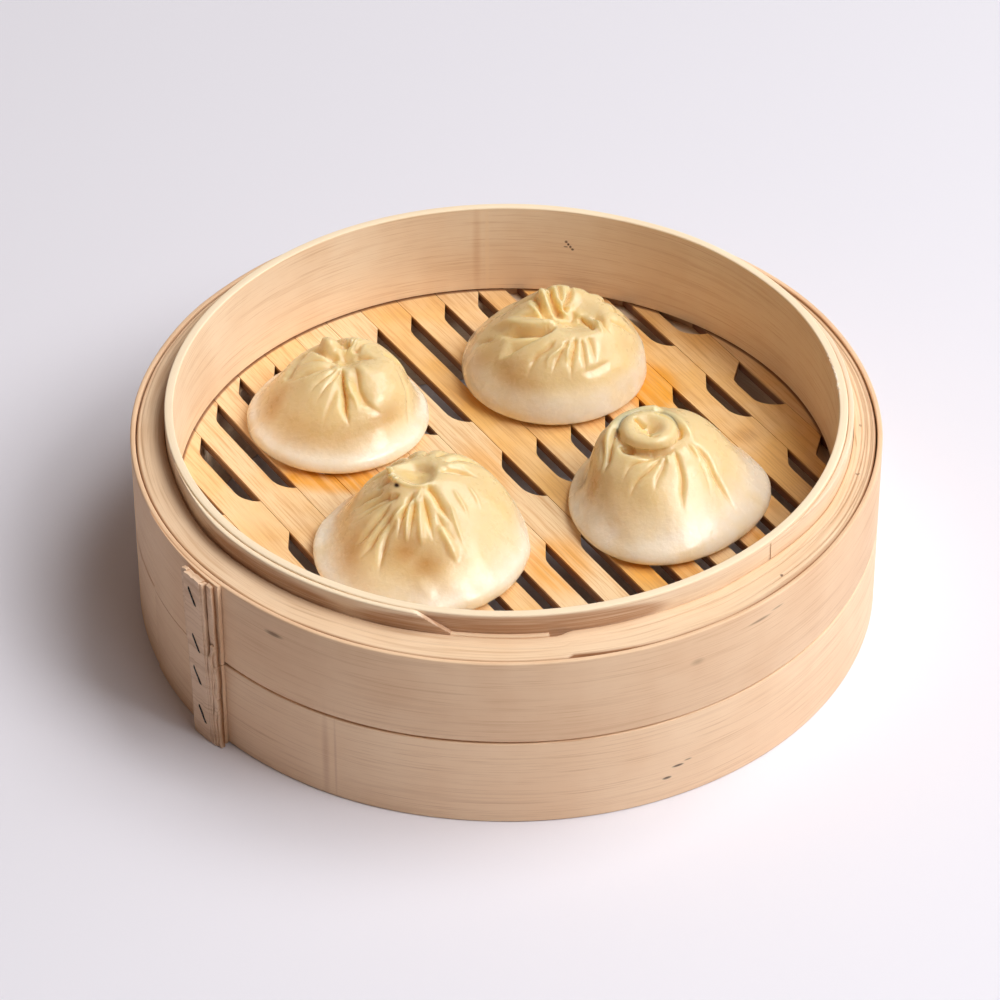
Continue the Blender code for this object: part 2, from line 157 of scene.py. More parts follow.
# ---- hand tools ----
def deselect_all() -> None:
    """Leave nothing selected and nothing active."""
    for other in list(bpy.context.selected_objects):
        other.select_set(False)
    bpy.context.view_layer.objects.active = None


def take_up(piece: Piece) -> None:
    """Select one piece alone and make it the active one."""
    deselect_all()
    piece.select_set(True)
    bpy.context.view_layer.objects.active = piece


def start_piece(name: str) -> Piece:
    """Name the primitive that was just added and its mesh."""
    piece = bpy.context.active_object
    piece.name = name
    piece.data.name = name
    return piece


def put_down(piece: Piece, smooth_angle: float = 40.0) -> Piece:
    """Finish a piece: place in its mesh, smooth where it is round.

    Args:
        piece: the piece, in object mode.
        smooth_angle: edges sharper than this stay sharp.

    Returns:
        The same piece.
    """
    take_up(piece)
    bpy.ops.object.transform_apply(location=True, rotation=True, scale=True)
    bpy.ops.object.shade_smooth_by_angle(angle=math.radians(smooth_angle))
    deselect_all()
    return piece


def read_points(piece: Piece) -> Array:
    """Return the piece's points in millimetres."""
    mesh = piece.data
    flat = np.empty(len(mesh.vertices) * 3)
    mesh.vertices.foreach_get("co", flat)
    return flat.reshape(-1, 3) / MM


def write_points(piece: Piece, points: Array) -> None:
    """Move the piece's points to new places in millimetres."""
    piece.data.vertices.foreach_set("co", (points * MM).ravel())
    piece.data.update()


def write_values(piece: Piece, name: str, values: Array) -> None:
    """Store one number per point under a name that the finish reads."""
    layer = piece.data.attributes.new(name, "FLOAT", "POINT")
    layer.data.foreach_set("value", values.astype(np.float32))


def select_everything() -> None:
    """Select the whole piece in edit mode."""
    bpy.ops.mesh.select_all(action="SELECT")


def spin_band(
    name: str,
    corners: Sequence[Plan],
    centre: Plan = (0.0, 0.0),
    start: float = 0.0,
    sweep: float = FULL_TURN,
    steps: int = 256,
    rounding: float = 0.3,
    segments: int = 3,
) -> Piece:
    """Bend a strip of bamboo round a centre: a plate, its corners rounded, then spun.

    Args:
        name: name of the piece.
        corners: radius and height of the section's corners, in order.
        centre: plan point that the strip bends round.
        start: angle of the first end.
        sweep: angle that the strip covers.
        steps: how many sections it is bent in.
        rounding: radius of the rounded corners.
        segments: faces over each rounded corner.

    Returns:
        The finished strip.
    """
    deselect_all()
    bpy.ops.mesh.primitive_circle_add(vertices=len(corners), radius=1.0, fill_type="NGON")
    piece = start_piece(name)
    places = []
    for radius, height in corners:
        x, y = polar(radius, start, centre)
        places.append((x, y, height))
    write_points(piece, np.array(places))
    bpy.ops.object.mode_set(mode="EDIT")
    select_everything()
    if rounding > 0:
        bpy.ops.mesh.bevel(
            offset=rounding * MM, segments=segments, affect="VERTICES", clamp_overlap=True,
        )
    select_everything()
    bpy.ops.mesh.spin(
        steps=steps, angle=-math.radians(sweep), center=(centre[0] * MM, centre[1] * MM, 0.0),
        axis=(0.0, 0.0, 1.0),
    )
    select_everything()
    bpy.ops.mesh.remove_doubles(threshold=0.002 * MM)
    if sweep >= FULL_TURN:
        remove_inner_section(piece)
    select_everything()
    bpy.ops.mesh.normals_make_consistent(inside=False)
    bpy.ops.object.mode_set(mode="OBJECT")
    return piece


def remove_inner_section(piece: Piece) -> None:
    """Delete the plate that a full spin leaves inside the ring."""
    builder = bmesh.from_edit_mesh(piece.data)
    crowded = [face for face in builder.faces if all(len(e.link_faces) > 2 for e in face.edges)]
    bmesh.ops.delete(builder, geom=crowded, context="FACES_ONLY")
    bmesh.update_edit_mesh(piece.data)


def extrude_plate(
    name: str, outline: Sequence[Plan], bottom: float, top: float, rounding: float,
) -> Piece:
    """Saw a plate from its outline and round its long edges.

    Args:
        name: name of the piece.
        outline: plan points of the plate's edge.
        bottom: height of the underside.
        top: height of the upper side.
        rounding: width of the rounded edge.

    Returns:
        The finished plate.
    """
    deselect_all()
    bpy.ops.mesh.primitive_circle_add(vertices=len(outline), radius=1.0, fill_type="NGON")
    piece = start_piece(name)
    write_points(piece, np.array([(x, y, bottom) for x, y in outline]))
    bpy.ops.object.mode_set(mode="EDIT")
    select_everything()
    bpy.ops.mesh.extrude_region_move(
        TRANSFORM_OT_translate={"value": (0.0, 0.0, (top - bottom) * MM)},
    )
    select_level_edges(piece)
    bpy.ops.mesh.bevel(offset=rounding * MM, segments=2, affect="EDGES", clamp_overlap=True)
    select_everything()
    bpy.ops.mesh.normals_make_consistent(inside=False)
    bpy.ops.object.mode_set(mode="OBJECT")
    return piece


def select_level_edges(piece: Piece) -> None:
    """Select the edges that lie flat, which run round a plate's two faces.

    Args:
        piece: the plate, in edit mode.
    """
    builder = bmesh.from_edit_mesh(piece.data)
    for edge in builder.edges:
        first, second = (vertex.co.z for vertex in edge.verts)
        edge.select_set(abs(first - second) < 0.01 * MM)
    builder.select_flush_mode()
    bmesh.update_edit_mesh(piece.data)


def saw_across(places: Sequence[float], direction: Triple) -> None:
    """Cut the piece in hand into sections.

    Args:
        places: where the cuts lie along the direction.
        direction: unit vector that the cuts are square to.
    """
    for place in places:
        select_everything()
        bpy.ops.mesh.bisect(
            plane_co=tuple(place * part for part in direction), plane_no=direction,
        )


# ---- finishes ----
class Wiring:
    """Places shader nodes in one tree and links them."""

    def __init__(self, tree: bpy.types.NodeTree) -> None:
        """Work on a tree."""
        self.tree = tree

    def node(self, kind: str, inputs: Optional[dict] = None, **settings) -> bpy.types.Node:
        """Add a node.

        Args:
            kind: the node's type.
            inputs: value or socket for each input, by name or number.
            **settings: the node's own properties.

        Returns:
            The node.
        """
        made = self.tree.nodes.new(kind)
        for key, value in settings.items():
            setattr(made, key, value)
        for key, value in (inputs or {}).items():
            self.feed(made.inputs[key], value)
        return made

    def feed(self, socket: Socket, value: object) -> None:
        """Link a socket into an input, or set the input to a constant."""
        if isinstance(value, bpy.types.NodeSocket):
            self.tree.links.new(value, socket)
        else:
            socket.default_value = value

    def math(self, kind: str, first: Value, second: Value = 0.0, clamp: bool = False) -> Socket:
        """Combine two values."""
        made = self.node("ShaderNodeMath", {0: first, 1: second}, operation=kind, use_clamp=clamp)
        return made.outputs[0]

    def band(self, value: Value, low: float, high: float, start: float = 0.0,
             end: float = 1.0) -> Socket:
        """Map one range smoothly onto another.

        Args:
            value: the value to map.
            low: value that becomes the start.
            high: value that becomes the end.
            start: result up to low.
            end: result from high on.

        Returns:
            The mapped value.
        """
        made = self.node(
            "ShaderNodeMapRange", {0: value, 1: low, 2: high, 3: start, 4: end},
            interpolation_type="SMOOTHSTEP",
        )
        return made.outputs[0]

    def noise(self, vector: Socket, scale: float, detail: float = 3.0,
              rough: float = 0.5, distortion: float = 0.0) -> Socket:
        """Add a noise.

        Args:
            vector: the place that it is looked up at.
            scale: how fine it is.
            detail: how many finer layers it has.
            rough: how strong the finer layers are.
            distortion: how far it is warped.

        Returns:
            Its value, about 0 to 1.
        """
        made = self.node(
            "ShaderNodeTexNoise",
            {"Vector": vector, "Scale": scale, "Detail": detail, "Roughness": rough,
             "Distortion": distortion},
        )
        return made.outputs["Fac"]

    def mix(self, share: Value, first: object, second: object, blend: str = "MIX") -> Socket:
        """Mix two colours.

        Args:
            share: share of the second colour.
            first: the first colour.
            second: the second colour.
            blend: how they are mixed.

        Returns:
            The mixed colour.
        """
        made = self.node("ShaderNodeMix", data_type="RGBA", blend_type=blend)
        self.feed(made.inputs[0], share)
        self.feed(made.inputs[6], first)
        self.feed(made.inputs[7], second)
        return made.outputs[2]

    def value_of(self, name: str) -> Socket:
        """Read the number that a mesh holds at each point under a name."""
        return self.node("ShaderNodeAttribute", attribute_name=name).outputs["Fac"]

    def object_point(self) -> Socket:
        """Return the place on the piece in metres."""
        return self.node("ShaderNodeTexCoord").outputs["Object"]


def new_group(name: str, inputs: dict[str, tuple[str, object]],
              outputs: Sequence[str]) -> tuple[bpy.types.NodeTree, Wiring, dict[str, Socket]]:
    """Start a shader node group.

    Args:
        name: name of the group.
        inputs: kind of socket and default value of each input.
        outputs: names of the value outputs.

    Returns:
        The group, its wiring, and the sockets of its inputs by name.
    """
    group = bpy.data.node_groups.new(name, "ShaderNodeTree")
    for title, (kind, default) in inputs.items():
        socket = group.interface.new_socket(name=title, in_out="INPUT", socket_type=kind)
        socket.default_value = default
    for title in outputs:
        group.interface.new_socket(name=title, in_out="OUTPUT", socket_type="NodeSocketFloat")
    entry = group.nodes.new("NodeGroupInput")
    return group, Wiring(group), {s.name: s for s in entry.outputs if s.name}


def close_group(group: bpy.types.NodeTree, results: dict[str, Socket]) -> None:
    """Link a group's results to its outputs."""
    leave = group.nodes.new("NodeGroupOutput")
    for title, socket in results.items():
        group.links.new(socket, leave.inputs[title])


FLOAT = "NodeSocketFloat"
VECTOR = "NodeSocketVector"


def make_hoop_grain() -> bpy.types.NodeTree:
    """Build the grain of a strip bent round a hoop: fibres that follow the bend."""
    group, wire, given = new_group(
        "hoop_grain",
        {"Point": (VECTOR, (0.0, 0.0, 0.0)), "Centre Y": (FLOAT, 0.0),
         "Fibre Length": (FLOAT, 0.04), "Fibre Pitch": (FLOAT, 0.0006), "Seed": (FLOAT, 0.0)},
        ("Fibre", "Streak", "Cloud", "Height", "Radius"),
    )
    parts = wire.node("ShaderNodeSeparateXYZ", {0: given["Point"]})
    x, height = parts.outputs[0], parts.outputs[2]
    y = wire.math("SUBTRACT", parts.outputs[1], given["Centre Y"])
    radius = wire.math("SQRT", wire.math(
        "ADD", wire.math("MULTIPLY", x, x), wire.math("MULTIPLY", y, y),
    ))
    east = wire.math("DIVIDE", x, radius)
    north = wire.math("DIVIDE", y, radius)
    reach = wire.math("DIVIDE", 0.095, given["Fibre Length"])
    across = wire.math("ADD", height, wire.math("MULTIPLY", radius, 1.3))
    shifted = wire.math("ADD", across, wire.math("MULTIPLY", given["Seed"], 0.01))

    def along(stretch: float, pitch: float, detail: float, rough: float) -> Socket:
        """Add noise that runs with the fibres.

        Args:
            stretch: how short it is along the fibres.
            pitch: how far apart its lines are.
            detail: how many finer layers it has.
            rough: how strong the finer layers are.

        Returns:
            Its value.
        """
        vector = wire.node("ShaderNodeCombineXYZ", {
            0: wire.math("MULTIPLY", wire.math("MULTIPLY", east, reach), stretch),
            1: wire.math("MULTIPLY", wire.math("MULTIPLY", north, reach), stretch),
            2: wire.math("DIVIDE", wire.math("DIVIDE", shifted, given["Fibre Pitch"]), pitch),
        })
        return wire.noise(vector.outputs[0], 1.0, detail, rough)

    close_group(group, {
        "Fibre": along(1.6, 1.0, 3.0, 0.65),
        "Streak": along(0.8, 5.0, 2.0, 0.5),
        "Cloud": wire.noise(given["Point"], 38.0, 3.0, 0.55),
        "Height": height, "Radius": radius,
    })
    return group


def make_slat_grain() -> bpy.types.NodeTree:
    """Build the grain of a straight slat: long fibres and the slat's own tone."""
    group, wire, given = new_group(
        "slat_grain",
        {"Point": (VECTOR, (0.0, 0.0, 0.0)), "Turn": (FLOAT, 0.0),
         "Fibre Length": (FLOAT, 0.03), "Fibre Pitch": (FLOAT, 0.0006)},
        ("Fibre", "Streak", "Cloud"),
    )
    turned = wire.node("ShaderNodeVectorRotate", {
        "Vector": given["Point"], "Axis": (0.0, 0.0, 1.0), "Angle": given["Turn"],
    }, rotation_type="AXIS_ANGLE")
    parts = wire.node("ShaderNodeSeparateXYZ", {0: turned.outputs[0]})
    along = wire.math("DIVIDE", parts.outputs[0], given["Fibre Length"])
    side = wire.math("DIVIDE", wire.math("ADD", parts.outputs[1], wire.math(
        "MULTIPLY", parts.outputs[2], 1.4)), given["Fibre Pitch"])

    def grain(stretch: float, pitch: float, detail: float, rough: float) -> Socket:
        """Add noise that runs along the slat, with the same measures as a hoop's."""
        vector = wire.node("ShaderNodeCombineXYZ", {
            0: wire.math("MULTIPLY", along, stretch), 1: wire.math("DIVIDE", side, pitch),
        })
        return wire.noise(vector.outputs[0], 1.0, detail, rough)

    close_group(group, {
        "Fibre": grain(1.5, 1.0, 3.0, 0.65), "Streak": grain(0.8, 4.0, 2.0, 0.5),
        "Cloud": wire.noise(given["Point"], 45.0, 3.0, 0.55),
    })
    return group


def make_spot() -> bpy.types.NodeTree:
    """Build a soft-edged mark round one place, with its own reach on each axis."""
    group, wire, given = new_group(
        "spot",
        {"Point": (VECTOR, (0.0, 0.0, 0.0)), "Place": (VECTOR, (0.0, 0.0, 0.0)),
         "Reach": (VECTOR, (0.001, 0.001, 0.001)), "Softness": (FLOAT, 0.5)},
        ("Mask",),
    )
    away = wire.node("ShaderNodeVectorMath", {0: given["Point"], 1: given["Place"]},
                     operation="SUBTRACT")
    scaled = wire.node("ShaderNodeVectorMath", {0: away.outputs[0], 1: given["Reach"]},
                       operation="DIVIDE")
    distance = wire.node("ShaderNodeVectorMath", {0: scaled.outputs[0]}, operation="LENGTH")
    inner = wire.math("SUBTRACT", 1.0, given["Softness"])
    mask = wire.node("ShaderNodeMapRange", {
        0: distance.outputs["Value"], 1: inner, 2: 1.0, 3: 1.0, 4: 0.0,
    }, interpolation_type="SMOOTHSTEP")
    close_group(group, {"Mask": mask.outputs[0]})
    return group


class SharedEffects:
    """The node groups that several finishes use, each built once."""

    def __init__(self) -> None:
        """Build every group."""
        self.hoop_grain = make_hoop_grain()
        self.slat_grain = make_slat_grain()
        self.spot = make_spot()


def paint(colour: Colour) -> tuple[float, float, float, float]:
    """Turn screen values of 0 to 255 into a linear colour."""
    linear = []
    for part in colour:
        share = part / 255.0
        linear.append(share / 12.92 if share <= 0.04045 else ((share + 0.055) / 1.055) ** 2.4)
    return (*linear, 1.0)


def start_material(name: str) -> tuple[bpy.types.Material, Wiring, bpy.types.Node]:
    """Start a material.

    Args:
        name: name of the material.

    Returns:
        The material, its wiring and its shader.
    """
    made = bpy.data.materials.new(name)
    made.use_nodes = True
    return made, Wiring(made.node_tree), made.node_tree.nodes["Principled BSDF"]


@dataclass(frozen=True)
class Mark:
    """A mark on the bamboo: a stain, a speck, a wet patch, a patch of painted shade.

    Where outside is given, the mark shows only farther from the inner hoop's centre than that.
    """

    place: Triple
    reach: Triple
    colour: Colour
    strength: float = 1.0
    softness: float = 0.5
    outside: float = 0.0


def cover(wire: Wiring, shared: SharedEffects, point: Socket, mark: Mark) -> Socket:
    """Lay the mask of one mark.

    Args:
        wire: wiring of the material.
        shared: the node groups.
        point: the place on the piece.
        mark: the mark.

    Returns:
        How strongly the mark covers each place, from 0 to its strength.
    """
    spot = wire.node("ShaderNodeGroup", {
        "Point": point, "Place": tuple(v * MM for v in mark.place),
        "Reach": tuple(v * MM for v in mark.reach), "Softness": mark.softness,
    }, node_tree=shared.spot)
    return wire.math("MULTIPLY", spot.outputs["Mask"], mark.strength)


@dataclass(frozen=True)
class HoopFinish:
    """Bent bamboo: pale wood with fine fibres along the bend.

    Where crest is given, the wood is paler at that height, where its edge is freshly cut. Where a point
    holds a groove value, it takes painted shade in the groove colour.
    """

    name: str
    slot: str
    pale: Colour
    dark: Colour
    streak: Colour
    roughness: float = 0.55
    centre_y: float = 0.0
    fibre_length: float = 34.0
    fibre_pitch: float = 0.45
    fibre_share: float = 0.5
    streak_share: float = 0.4
    bump: float = 0.12
    seed: float = 0.0
    # Colour of the painted shade: along the ledge's grooves and on its sides, the inner hoop's shadow on
    # the ledge's left, the line along the ledge's outer edge, and the strap's hidden sides.
    groove_and_shade: Colour = (150, 98, 58)
    crest: float = 0.0
    crest_depth: float = 0.7
    crest_bevel: float = 0.3
    crest_colour: Colour = (255, 234, 200)
    mark_fade: float = 0.6
    marks: tuple[Mark, ...] = ()

    def build(self, shared: SharedEffects) -> bpy.types.Material:
        """Build the material.

        Args:
            shared: the node groups.

        Returns:
            The material.
        """
        made, wire, shader = start_material(self.name)
        point = wire.object_point()
        grain = wire.node("ShaderNodeGroup", {
            "Point": point, "Centre Y": self.centre_y * MM, "Seed": self.seed,
            "Fibre Length": self.fibre_length * MM, "Fibre Pitch": self.fibre_pitch * MM,
        }, node_tree=shared.hoop_grain)
        fibre, streak, cloud = (grain.outputs[key] for key in ("Fibre", "Streak", "Cloud"))
        tone = wire.band(cloud, 0.3, 0.7)
        colour = wire.mix(wire.math("MULTIPLY", tone, 0.6), paint(self.pale), paint(self.dark))
        lines = wire.band(streak, 0.52, 0.72)
        colour = wire.mix(wire.math("MULTIPLY", lines, self.streak_share), colour,
                          paint(self.streak))
        fine = wire.band(fibre, 0.5, 0.75)
        colour = wire.mix(
            wire.math("MULTIPLY", fine, self.fibre_share), colour, paint(self.streak),
        )
        for mark in self.marks:
            share = wire.math("MULTIPLY", cover(wire, shared, point, mark),
                              wire.band(fibre, 0.25, 0.6, 0.55, 1.0))
            if mark.outside:
                inner = mark.outside - self.mark_fade
                share = wire.math("MULTIPLY", share, wire.band(
                    grain.outputs["Radius"], inner * MM, mark.outside * MM))
            colour = wire.mix(share, colour, paint(mark.colour))
        if self.crest:
            low, high = self.crest - self.crest_depth, self.crest - self.crest_bevel
            fresh = wire.band(grain.outputs["Height"], low * MM, high * MM, 0.0, 0.7)
            colour = wire.mix(fresh, colour, paint(self.crest_colour))
        # Painted shade, as strong as each point's stored groove value.
        colour = wire.mix(wire.value_of("groove_and_shade"), colour, paint(self.groove_and_shade))
        wire.feed(shader.inputs["Base Color"], colour)
        wire.feed(shader.inputs["Roughness"], wire.band(
            fibre, 0.3, 0.7, self.roughness - 0.06, self.roughness + 0.1))
        bump = wire.node("ShaderNodeBump", {
            "Height": wire.math("ADD", fibre, streak), "Strength": self.bump,
            "Distance": 0.3 * MM,
        })
        wire.feed(shader.inputs["Normal"], bump.outputs[0])
        shader.inputs["Specular IOR Level"].default_value = 0.35
        return made


@dataclass(frozen=True)
class SlatFinish:
    """Straight honey bamboo: each slat has its own tone; it is darker where wet round the dumplings,
    which also paints in their contact shade and glow, and has painted shade in its slots and along the
    hoop.
    """

    name: str
    slot: str
    pale: Colour
    honey: Colour
    brown: Colour
    # Colour of wet bamboo round the dumplings; its orange also paints in their contact shade and the glow
    # they throw.
    wet: Colour
    # Colour of the painted shade on the sawn sides in the slots and along the hoop.
    side: Colour
    turn: float
    wet_and_shade_marks: tuple[Mark, ...] = ()
    marks: tuple[Mark, ...] = ()
    fibre_length: float = 26.0
    fibre_pitch: float = 0.5
    roughness: float = 0.42
    side_depth: float = 1.2
    side_bevel: float = 0.25
    wall_line: float = 0.9
    wall_bevel: float = 0.15

    def build(self, shared: SharedEffects) -> bpy.types.Material:
        """Build the material.

        Args:
            shared: the node groups.

        Returns:
            The material.
        """
        made, wire, shader = start_material(self.name)
        point = wire.object_point()
        grain = wire.node("ShaderNodeGroup", {
            "Point": point, "Turn": math.radians(-self.turn),
            "Fibre Length": self.fibre_length * MM, "Fibre Pitch": self.fibre_pitch * MM,
        }, node_tree=shared.slat_grain)
        fibre, streak, cloud = (grain.outputs[key] for key in ("Fibre", "Streak", "Cloud"))
        tone = wire.value_of("tone")
        honey = wire.math("ADD", tone, wire.band(cloud, 0.35, 0.7, -0.25, 0.3), clamp=True)
        colour = wire.mix(honey, paint(self.pale), paint(self.honey))
        # Wet patches round the dumplings, which also paint in the contact shade and glow from the dough
        # there.
        damp_and_shade = 0.0
        for mark in self.wet_and_shade_marks:
            damp_and_shade = wire.math("ADD", damp_and_shade, cover(wire, shared, point, mark), clamp=True)
        damp_and_shade = wire.math("MULTIPLY", damp_and_shade, wire.band(streak, 0.3, 0.6, 0.5, 1.0))
        colour = wire.mix(damp_and_shade, colour, paint(self.wet))
        colour = wire.mix(wire.math("MULTIPLY", wire.band(streak, 0.5, 0.72), 0.4), colour,
                          paint(self.brown))
        colour = wire.mix(wire.math("MULTIPLY", wire.band(fibre, 0.47, 0.62), 0.4), colour,
                          paint(self.brown))
        for mark in self.marks:
            share = wire.math("MULTIPLY", cover(wire, shared, point, mark),
                              wire.band(fibre, 0.3, 0.6, 0.3, 1.0))
            colour = wire.mix(share, colour, paint(mark.colour))
        # Painted shade on the sawn sides and along the hoop.
        wire.feed(shader.inputs["Base Color"], self.paint_shade(wire, point, colour))
        dry = wire.math("SUBTRACT", self.roughness, wire.math("MULTIPLY", damp_and_shade, 0.12))
        wire.feed(shader.inputs["Roughness"], dry)
        bump = wire.node("ShaderNodeBump", {
            "Height": wire.math("ADD", fibre, streak), "Strength": 0.15, "Distance": 0.3 * MM,
        })
        wire.feed(shader.inputs["Normal"], bump.outputs[0])
        shader.inputs["Specular IOR Level"].default_value = 0.4
        return made

    def paint_shade(self, wire: Wiring, point: Socket, colour: Socket) -> Socket:
        """Paint shade on the slats' sawn sides, darker the deeper they go, and along the line where they
        meet the hoop.

        Args:
            wire: wiring of the material.
            point: the place on the slat.
            colour: the wood's colour so far.

        Returns:
            The colour with the painted shade.
        """
        parts = wire.node("ShaderNodeSeparateXYZ", {0: point})
        y = wire.math("SUBTRACT", parts.outputs[1], INNER_SHIFT * MM)
        radius = wire.math("SQRT", wire.math(
            "ADD", wire.math("MULTIPLY", parts.outputs[0], parts.outputs[0]),
            wire.math("MULTIPLY", y, y)))
        # Painted shade: the sawn sides darker the deeper they go, and the corner along the hoop's wall
        # darker.
        low = wire.band(parts.outputs[2], (FLOOR_TOP - self.side_depth) * MM,
                        (FLOOR_TOP - self.side_bevel) * MM, 0.8, 0.0)
        line = wire.band(radius, (INNER_RADIUS - self.wall_line) * MM,
                         (INNER_RADIUS - self.wall_bevel) * MM, 0.0, 0.8)
        colour = wire.mix(low, colour, paint(self.side))
        return wire.mix(line, colour, paint(self.side))


@dataclass(frozen=True)
class DoughFinish:
    """Steamed dough: creamy, yellower in its creases and knot as painted glow, whiter and wetter on its
    thick skirt.
    """

    name: str
    slot: str
    cream: Colour
    # Colour of the painted glow in the creases and the knot, standing in for light that shines through
    # the dough.
    yellow: Colour
    skirt: Colour
    filling: Colour
    dirt: Colour
    roughness: float = 0.3

    def build(self, shared: SharedEffects) -> bpy.types.Material:
        """Build the material.

        Args:
            shared: the node groups, of which dough needs none.

        Returns:
            The material.
        """
        made, wire, shader = start_material(self.name)
        point = wire.object_point()
        cloud = wire.noise(point, 90.0, 3.0, 0.5)
        thick = wire.math("MULTIPLY", wire.value_of("skirt"), wire.band(cloud, 0.3, 0.6, 0.5, 1.0))
        colour = wire.mix(thick, paint(self.cream), paint(self.skirt))
        # Painted glow: yellower in the creases and at the knot, where light shines through the dough.
        fold = wire.math("ADD", wire.value_of("fold"), wire.band(cloud, 0.4, 0.75, -0.08, 0.12),
                         clamp=True)
        colour = wire.mix(fold, colour, paint(self.yellow))
        colour = wire.mix(wire.value_of("filling"), colour, paint(self.filling))
        colour = wire.mix(wire.value_of("dirt"), colour, paint(self.dirt))
        wire.feed(shader.inputs["Base Color"], colour)
        patch = wire.band(wire.noise(point, 260.0, 2.0, 0.6), 0.35, 0.65, -0.05, 0.08)
        wet = wire.math("MULTIPLY", wire.value_of("skirt"), 0.08)
        wire.feed(shader.inputs["Roughness"], wire.math(
            "SUBTRACT", wire.math("ADD", patch, self.roughness), wet))
        uneven = wire.math("ADD", wire.noise(point, 170.0, 2.0, 0.5),
                           wire.math("MULTIPLY", wire.noise(point, 900.0, 3.0, 0.6), 0.3))
        fine = wire.node("ShaderNodeBump", {
            "Height": uneven, "Strength": 0.45, "Distance": 0.8 * MM,
        })
        wire.feed(shader.inputs["Normal"], fine.outputs[0])
        shader.inputs["Subsurface Weight"].default_value = 0.95
        shader.inputs["Subsurface Radius"].default_value = (1.0, 0.93, 0.82)
        shader.inputs["Subsurface Scale"].default_value = 4.0 * MM
        shader.inputs["Coat Weight"].default_value = 0.4
        shader.inputs["Coat Roughness"].default_value = 0.15
        shader.inputs["IOR"].default_value = 1.42
        return made


@dataclass(frozen=True)
class WireFinish:
    """Thin darkened steel wire."""

    name: str
    slot: str
    dark: Colour
    bright: Colour

    def build(self, shared: SharedEffects) -> bpy.types.Material:
        """Build the material.

        Args:
            shared: the node groups, of which wire needs none.

        Returns:
            The material.
        """
        made, wire, shader = start_material(self.name)
        wear = wire.noise(wire.object_point(), 1500.0, 3.0, 0.6)
        wire.feed(shader.inputs["Base Color"], wire.mix(
            wire.band(wear, 0.45, 0.7), paint(self.dark), paint(self.bright)))
        wire.feed(shader.inputs["Roughness"], wire.band(wear, 0.3, 0.7, 0.35, 0.6))
        shader.inputs["Metallic"].default_value = 0.7
        return made


@dataclass(frozen=True)
class BackdropFinish:
    """Plain pale paper under the basket."""

    name: str
    colour: Colour

    def build(self, shared: SharedEffects) -> bpy.types.Material:
        """Build the material.

        Args:
            shared: the node groups, of which paper needs none.

        Returns:
            The material.
        """
        made, _, shader = start_material(self.name)
        shader.inputs["Base Color"].default_value = paint(self.colour)
        shader.inputs["Roughness"].default_value = 0.8
        shader.inputs["Specular IOR Level"].default_value = 0.2
        return made


Finish = Union[HoopFinish, SlatFinish, DoughFinish, WireFinish]


class Workshop:
    """Keeps the built materials and hands each finished piece over to the frame."""

    def __init__(self) -> None:
        """Build the shared effects."""
        self.shared = SharedEffects()
        self.built: dict[str, bpy.types.Material] = {}

    def material(self, finish: Finish) -> bpy.types.Material:
        """Return a finish's material, built the first time it is asked for."""
        if finish.name not in self.built:
            self.built[finish.name] = finish.build(self.shared)
        return self.built[finish.name]

    def hand_over(self, piece: Piece, finish: Finish, *nodes: str) -> None:
        """Dress a piece and say what it stands for.

        Args:
            piece: the finished piece.
            finish: its finish.
            *nodes: the CAD nodes that it replaces, or none.
        """
        piece.data.materials.clear()
        piece.data.materials.append(self.material(finish))
        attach(piece, "root")
        if nodes:
            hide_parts(*nodes)
        LOG.info("%s: %d faces, stands for %s", piece.name, len(piece.data.polygons), nodes)


# ---- colours of the pieces ----
OUTER_MARKS = (
    Mark((-60.0, -81.8, 47.5), (4.2, 3.4, 1.0), (120, 86, 60), 0.8, 0.8),
    Mark((44.6, -91.2, 10.6), (2.2, 2.0, 0.5), (60, 44, 36), 0.95, 0.6),
    Mark((47.2, -89.8, 11.6), (1.5, 1.6, 0.35), (110, 80, 60), 0.7, 0.7),
    Mark((41.7, -92.5, 7.4), (1.7, 1.6, 0.55), (60, 44, 36), 0.95, 0.6),
    Mark((65.3, -77.7, 48.6), (5.0, 5.0, 0.7), (140, 108, 84), 0.7, 0.8),
    Mark((70.0, -73.5, 49.4), (3.0, 3.0, 0.5), (140, 108, 84), 0.6, 0.8),
    Mark((49.0, -88.9, 44.0), (3.0, 2.4, 1.5), (170, 134, 102), 0.5, 0.9),
    Mark((-47.2, -89.9, 13.0), (1.6, 1.6, 22.0), (196, 142, 106), 0.4, 0.9),
    Mark((-44.6, -91.2, 13.0), (0.5, 0.6, 22.0), (216, 172, 138), 0.5, 0.8),
)
INNER_MARKS = (
    Mark((-8.4, 93.3, 45.0), (1.8, 3.0, 22.0), (206, 152, 102), 0.35, 0.9),
    Mark((-5.4, 93.5, 45.0), (0.9, 1.5, 22.0), (250, 222, 186), 0.6, 0.7),
    Mark((17.3, 92.2, 48.4), (0.6, 1.2, 0.6), (84, 50, 36), 1.0, 0.6),
    Mark((17.9, 92.1, 47.6), (0.5, 1.2, 0.6), (84, 50, 36), 1.0, 0.6),
    Mark((18.5, 91.9, 46.8), (0.5, 1.2, 0.6), (84, 50, 36), 1.0, 0.6),
    Mark((19.1, 91.8, 46.0), (0.6, 1.2, 0.5), (84, 50, 36), 1.0, 0.6),
    Mark((17.2, 92.2, 46.7), (0.9, 1.2, 0.3), (110, 72, 50), 0.9, 0.6),
    # These two darken the inner hoop's outer wall above the ledge: darker wood there, and painted shade
    # on that wall.
    Mark((10.0, -88.0, 55.0), (75.0, 12.0, 4.0), (178, 120, 76), 0.75, 0.3, 92.2),
    Mark((-62.0, -64.0, 54.5), (34.0, 30.0, 4.2), (178, 120, 76), 0.7, 0.4, 92.2),
)
